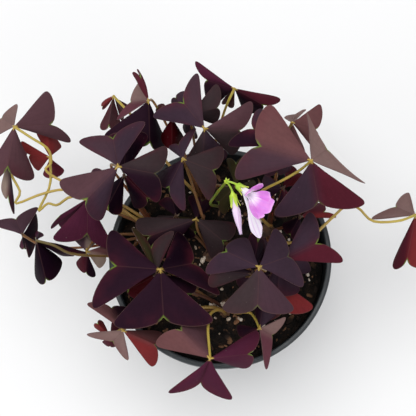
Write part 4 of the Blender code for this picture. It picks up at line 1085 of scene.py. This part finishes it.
# lobes are the tips of the petals: the angle round the flower, how far out and how far along it
petal = dict(count=5, thickness=0.3, foot=1.2, throat=3.2, lift=0.8, flareFrom=0.46, pinkFrom=0.50,
             pinkOver=0.20, ruffle=0.45, dip=0.8, seed=41, halves=(2.3, 2.9, 3.6, 5.0, 3.2),
             lobes=((100.0, 5.5, 15.0), (32.0, 9.0, 16.0), (-25.0, 8.0, 19.5), (-66.0, 9.8, 21.5),
                    (-116.0, 10.5, 21.0)))
longPetal = dict(start=1.5, bulge=3.0, hollow=0.5,
                 halves=((0.0, 0.35), (0.2, 0.7), (0.45, 1.3), (0.7, 2.75), (0.88, 3.3), (1.0, 2.3)))
rolledPetal = dict(girth=1.7, twist=0.9, halfWidth=52.0)


def turnTo(start, end):
    aim = (end - start).normalized()
    return Matrix.Translation(start) @ aim.to_track_quat("Z", "Y").to_matrix().to_4x4()


def ringPoint(radius, angle, level):
    return Vector((radius * math.cos(angle), radius * math.sin(angle), level))


openStart, openMouth = seen(*flowers["openCalyx"]), seen(*flowers["openMouth"])
closedStart, closedTip = seen(*flowers["closedCalyx"]), seen(*flowers["closedTip"])
openPlace, closedPlace = turnTo(openStart, openMouth), turnTo(closedStart, closedTip)
petalEnd = seen(*flowers["longPetalEnd"])
petalLocal = openPlace.inverted() @ petalEnd
petalAngle = math.atan2(petalLocal.y, petalLocal.x)
flowerBase = calyx["base"] + calyx["gap"]


def gridPiece(name, rows, columns, rule, thickness, layer):
    # a grid whose points are placed by a rule of two shares, thickened to a thin blade
    bpy.ops.object.select_all(action="DESELECT")
    bpy.ops.mesh.primitive_grid_add(x_subdivisions=columns, y_subdivisions=rows, size=2.0)
    thing = bpy.context.object
    thing.name = name
    tones = []
    for vertex in thing.data.vertices:
        place, tone = rule(0.5 * (vertex.co.y + 1.0), vertex.co.x)
        vertex.co = place * mm
        tones.append(tone)
    paint(thing, layer, tones)
    editAll(thing, bpy.ops.mesh.remove_doubles, threshold=0.03 * mm)
    thicken(thing, thickness)
    applyModifiers(thing)
    return thing


def makeSepal(name, place, angle, radius):
    turn = place @ Matrix.Rotation(angle, 4, "Z")

    def rule(share, across):
        width = calyx["halfWidth"] * math.sin(math.pi * min(1.0, 0.32 + 0.68 * share)) ** 0.8
        out = radius + 0.75 * share ** 1.5 + 0.35 * share ** 4 - 0.25 * across ** 2 * width
        level = calyx["base"] - 0.8 + share * calyx["length"]
        return turn @ Vector((out, across * width, level)), (share ** 2 * 0.85, 0.0, 0.0)

    return gridPiece(name, 10, 4, rule, calyx["thickness"], "greenTone")


def makeCalyx(name, place, angles):
    radius = calyx["radius"] + calyx["gap"]
    heights = (-1.2, -0.4, 0.3, 1.0, 1.6, calyx["base"])
    girths = (0.6, 0.75, 1.15, radius - 0.15, radius + 0.05, radius + 0.1)
    cup = tubeAlong(name + "_cup", [place @ Vector((0.0, 0.0, height)) for height in heights], girths, 6)
    paintPlain(cup, "greenTone", (0.1, 0.0, 0.0))
    return [cup] + [makeSepal(name + "_sepal", place, angle, radius) for angle in angles]


def makeTwig(name, top, place):
    # the short stalk from the tuft to a calyx
    end = place @ Vector((0.0, 0.0, -1.0))
    lead = end + (end - place @ Vector((0.0, 0.0, 2.0))) * twig["lead"]
    steps = twig["steps"]
    points = bendLine(top, top + Vector((0.0, 0.0, twig["rise"])), lead, end, steps + 1)
    radii = [twig["radius"] - twig["slim"] * math.sin(math.pi * step / steps) for step in range(steps + 1)]
    tube = tubeAlong(name + "_twig", points, radii)
    paintPlain(tube, "greenTone", (0.05, 0.25, 0.0))
    return tube


def makeBracts(top, aim):
    bracts = []
    for number in range(bract["count"]):
        turn = Matrix.Rotation(math.tau * number / bract["count"], 4, aim)
        out = turn @ aim.orthogonal().normalized()
        tip = top + out * (1.5 + 0.4 * (number % 2)) + aim * (2.0 - 0.6 * (number % 3))
        points = [top - aim * 1.4, top + out * 0.7, (top + tip) * 0.5 + out * 0.3, tip]
        bracts.append(tubeAlong("bract", points, bract["radii"], 3))
        paintPlain(bracts[-1], "greenTone", (0.35, 0.1, 0.0))
    return bracts


def makeFlowerStem():
    foot = Vector((*flowerStem["foot"], flowerStem["bottom"]))
    knots = [foot + Vector((0.0, 0.0, height)) for height in flowerStem["straight"]]
    knots += [seen(*stop) for stop in flowers["way"]]
    shares = [step / flowerStem["steps"] for step in range(flowerStem["steps"] + 1)]
    line = [pointAlong(knots, share) for share in shares]
    radii = [flowerStem["radius"] * (1.05 - 0.2 * share) for share in shares]
    bar = tubeAlong("stemBar", line, radii)
    top = line[-1]
    length = (top - line[0]).length
    paint(bar, "greenTone", [(0.0, min(1.0, 1.25 - 0.55 * (vertex.co / mm - line[0]).length / length), 0.0)
                             for vertex in bar.data.vertices])
    pieces = [bar, makeTwig("open", top, openPlace), makeTwig("closed", top, closedPlace)]
    # the open flower's sepals leave room for its long petal
    count, clear = calyx["sepals"], math.radians(calyx["clearance"])
    spacing = (math.tau - 2 * clear) / (count - 1)
    pieces += makeCalyx("open", openPlace, [petalAngle + clear + spacing * place for place in range(count)])
    pieces += makeCalyx("closed", closedPlace, [math.tau * place / count for place in range(count)])
    pieces += makeBracts(top, (line[-1] - line[-2]).normalized())
    finishFlower("flowerStem", pieces, 45, "flower_stem", "green", calyxGreen)


def finishFlower(name, pieces, degrees, node, slotName, finish):
    dress(pieces, finish)
    whole = joinAll(name, pieces)
    smoothen(whole, degrees)
    placePiece(whole, node, slotName)


def makePetal(number, draw):
    # each petal leans towards the tip of its own lobe
    tipAngle, reach, tipLevel = petal["lobes"][number]
    foot = math.radians(petal["lobes"][0][0]) - math.tau * number / petal["count"]
    turn = (math.radians(tipAngle) - foot + math.pi) % math.tau - math.pi
    start, throat = petal["foot"], petal["throat"]
    base = flowerBase + petal["lift"]
    ruffle = draw.uniform(0.0, math.tau)
    pinkPetal = draw.uniform(0.85, 1.0)
    tube = math.pi / petal["count"] * 1.12

    def rule(share, across):
        flare = max(0.0, share - petal["flareFrom"]) / (1.0 - petal["flareFrom"])
        arc = math.sqrt(max(0.0, 1.0 - across ** 2 * 0.8))
        out = start + (throat - start) * share + (reach - throat) * flare ** 1.5 * (0.60 + 0.40 * arc)
        angle = foot + turn * share
        width = 0.42 + 0.62 * math.sin(math.pi * min(1.0, flare * 0.62)) - 0.22 * flare ** 5
        level = base + (tipLevel - base) * share ** 0.8 * (0.94 + 0.06 * arc)
        level += flare * petal["ruffle"] * math.sin(ruffle + 3.0 * across)
        level -= flare ** 2 * petal["dip"] * (1.0 - abs(across))
        lift = 0.22 * math.sin(math.pi * across) * (1.0 - flare)
        # a part of the tube at the foot, and a flat lobe at the tip
        ring = ringPoint(out + lift, angle + across * tube, level)
        side = Vector((-math.sin(angle), math.cos(angle), 0.0)) * petal["halves"][number] * width * across
        point = ring.lerp(ringPoint(out, angle, level) + side, min(1.0, flare * 2.2))
        pink = pinkPetal * min(1.0, max(0.0, share - petal["pinkFrom"]) / petal["pinkOver"])
        return openPlace @ point, (share, 0.5 + 0.5 * across, pink)

    return gridPiece(f"petal{number}", 16, 12, rule, petal["thickness"], "petalTone")


def makeLongPetal():
    start = openPlace @ Vector((0.0, 0.0, flowerBase + longPetal["start"]))
    chord = petalEnd - start
    side = chord.cross(Vector((0.0, 0.0, 1.0))).normalized()
    arch = side.cross(chord).normalized()
    halves = [Vector(half) for half in longPetal["halves"]]

    def rule(share, across):
        cap = 1.0 - 0.10 * across ** 2 * max(0.0, share - 0.8) / 0.2
        bulge = longPetal["bulge"] * (math.sin(math.pi * share) * (1 - share) + 0.3 * (1 - share))
        point = start + chord * share * cap + arch * bulge + side * pointAlong(halves, share).y * across
        point -= arch * longPetal["hollow"] * across ** 2 * (1.0 - share * 0.6)
        return point, (share * 0.8, 0.5 + 0.5 * across, 0.12 * share ** 3)

    return gridPiece("longPetal", 18, 8, rule, petal["thickness"], "petalTone")


def makeOpenFlower():
    draw = random.Random(petal["seed"])
    points = [openPlace @ Vector((0.0, 0.0, flowerBase + height)) for height in (0.0, 1.2, 3.5)]
    core = tubeAlong("core", points, [1.1, 1.2, 0.6], 5)
    paintPlain(core, "petalTone", (0.1, 0.5, 0.0))
    pieces = [core] + [makePetal(number, draw) for number in range(petal["count"])] + [makeLongPetal()]
    finishFlower("openFlower", pieces, 50, "open_flower", "petal", petalSkin)


def makeRolledPetal(number):
    length = (closedTip - closedStart).length
    center = math.tau * number / petal["count"]

    def rule(share, across):
        swell = 0.72 + 0.5 * math.sin(math.pi * min(1.0, share * 1.15)) - 0.35 * share ** 4
        girth = rolledPetal["girth"] * swell
        if share < 0.3:
            girth = min(girth, calyx["radius"])
        width = math.radians(rolledPetal["halfWidth"]) * (1.0 - 0.35 * share ** 5)
        angle = center + across * width + rolledPetal["twist"] * share
        level = flowerBase + (length - flowerBase) * share * (1.0 - 0.06 * across ** 2 * share)
        point = ringPoint(girth * (1.0 + 0.10 * across) * 0.92, angle, level)
        return closedPlace @ point, (share * 0.85, 0.5 + 0.5 * across, 0.18 + 0.30 * abs(across) * share)

    return gridPiece(f"rolled{number}", 18, 7, rule, petal["thickness"], "petalTone")


def makeClosedFlower():
    pieces = [makeRolledPetal(number) for number in range(petal["count"])]
    finishFlower("closedFlower", pieces, 50, "closed_flower", "petal", petalSkin)


makeFlowerStem()
makeOpenFlower()
makeClosedFlower()
print("flowers made")


# camera, floor and light

# the floor and the lamps are placed and sized in metres
studio = dict(floor=(0.82, 0.82, 0.815), floorRough=0.9, floorShine=0.1, world=(0.97, 0.975, 1.0),
              worldStrength=0.68, target=(0.0, 0.0, 0.12),
              lamps=(("topLamp", (-0.2, 0.15, 1.6), 1.1, 14.0), ("sideLamp", (-1.3, -0.5, 1.0), 1.0, 4.5),
                     ("frontLamp", (0.9, -1.1, 1.1), 1.0, 4.5)))


def makeCamera():
    tilt = (math.radians(photo["tilt"]), 0.0, 0.0)
    bpy.ops.object.camera_add(location=eyePlace() * mm, rotation=tilt)
    camera = bpy.context.object
    camera.name = "photoCamera"
    camera.data.lens = camera.data.sensor_width * photo["distance"] / (photo["size"] * photo["pixel"])
    camera.data.clip_start = 10.0 * mm
    bpy.context.scene.camera = camera


def makeStudio():
    bpy.ops.object.select_all(action="DESELECT")
    bpy.ops.mesh.primitive_plane_add(size=8.0, location=(0.0, 0.0, -0.5 * mm))
    floor = bpy.context.object
    floor.name = "studioFloor"
    finish, tree, shader, _ = startFinish("studioPaper")
    closeFinish(tree, shader, (*studio["floor"], 1.0), studio["floorRough"],
                Specular_IOR_Level=studio["floorShine"])
    floor.data.materials.append(finish)
    for name, place, size, energy in studio["lamps"]:
        bpy.ops.object.light_add(type="AREA", location=place)
        lamp = bpy.context.object
        lamp.name = name
        lamp.data.size = size
        lamp.data.energy = energy
        lamp.rotation_euler = (Vector(studio["target"]) - Vector(place)).to_track_quat("-Z", "Y").to_euler()
    world = bpy.data.worlds.new("studioWorld")
    world.use_nodes = True
    sky = world.node_tree.nodes["Background"]
    sky.inputs["Color"].default_value = (*studio["world"], 1.0)
    sky.inputs["Strength"].default_value = studio["worldStrength"]
    bpy.context.scene.world = world
    bpy.context.scene.view_settings.view_transform = "Standard"


makeCamera()
makeStudio()
print("studio made")
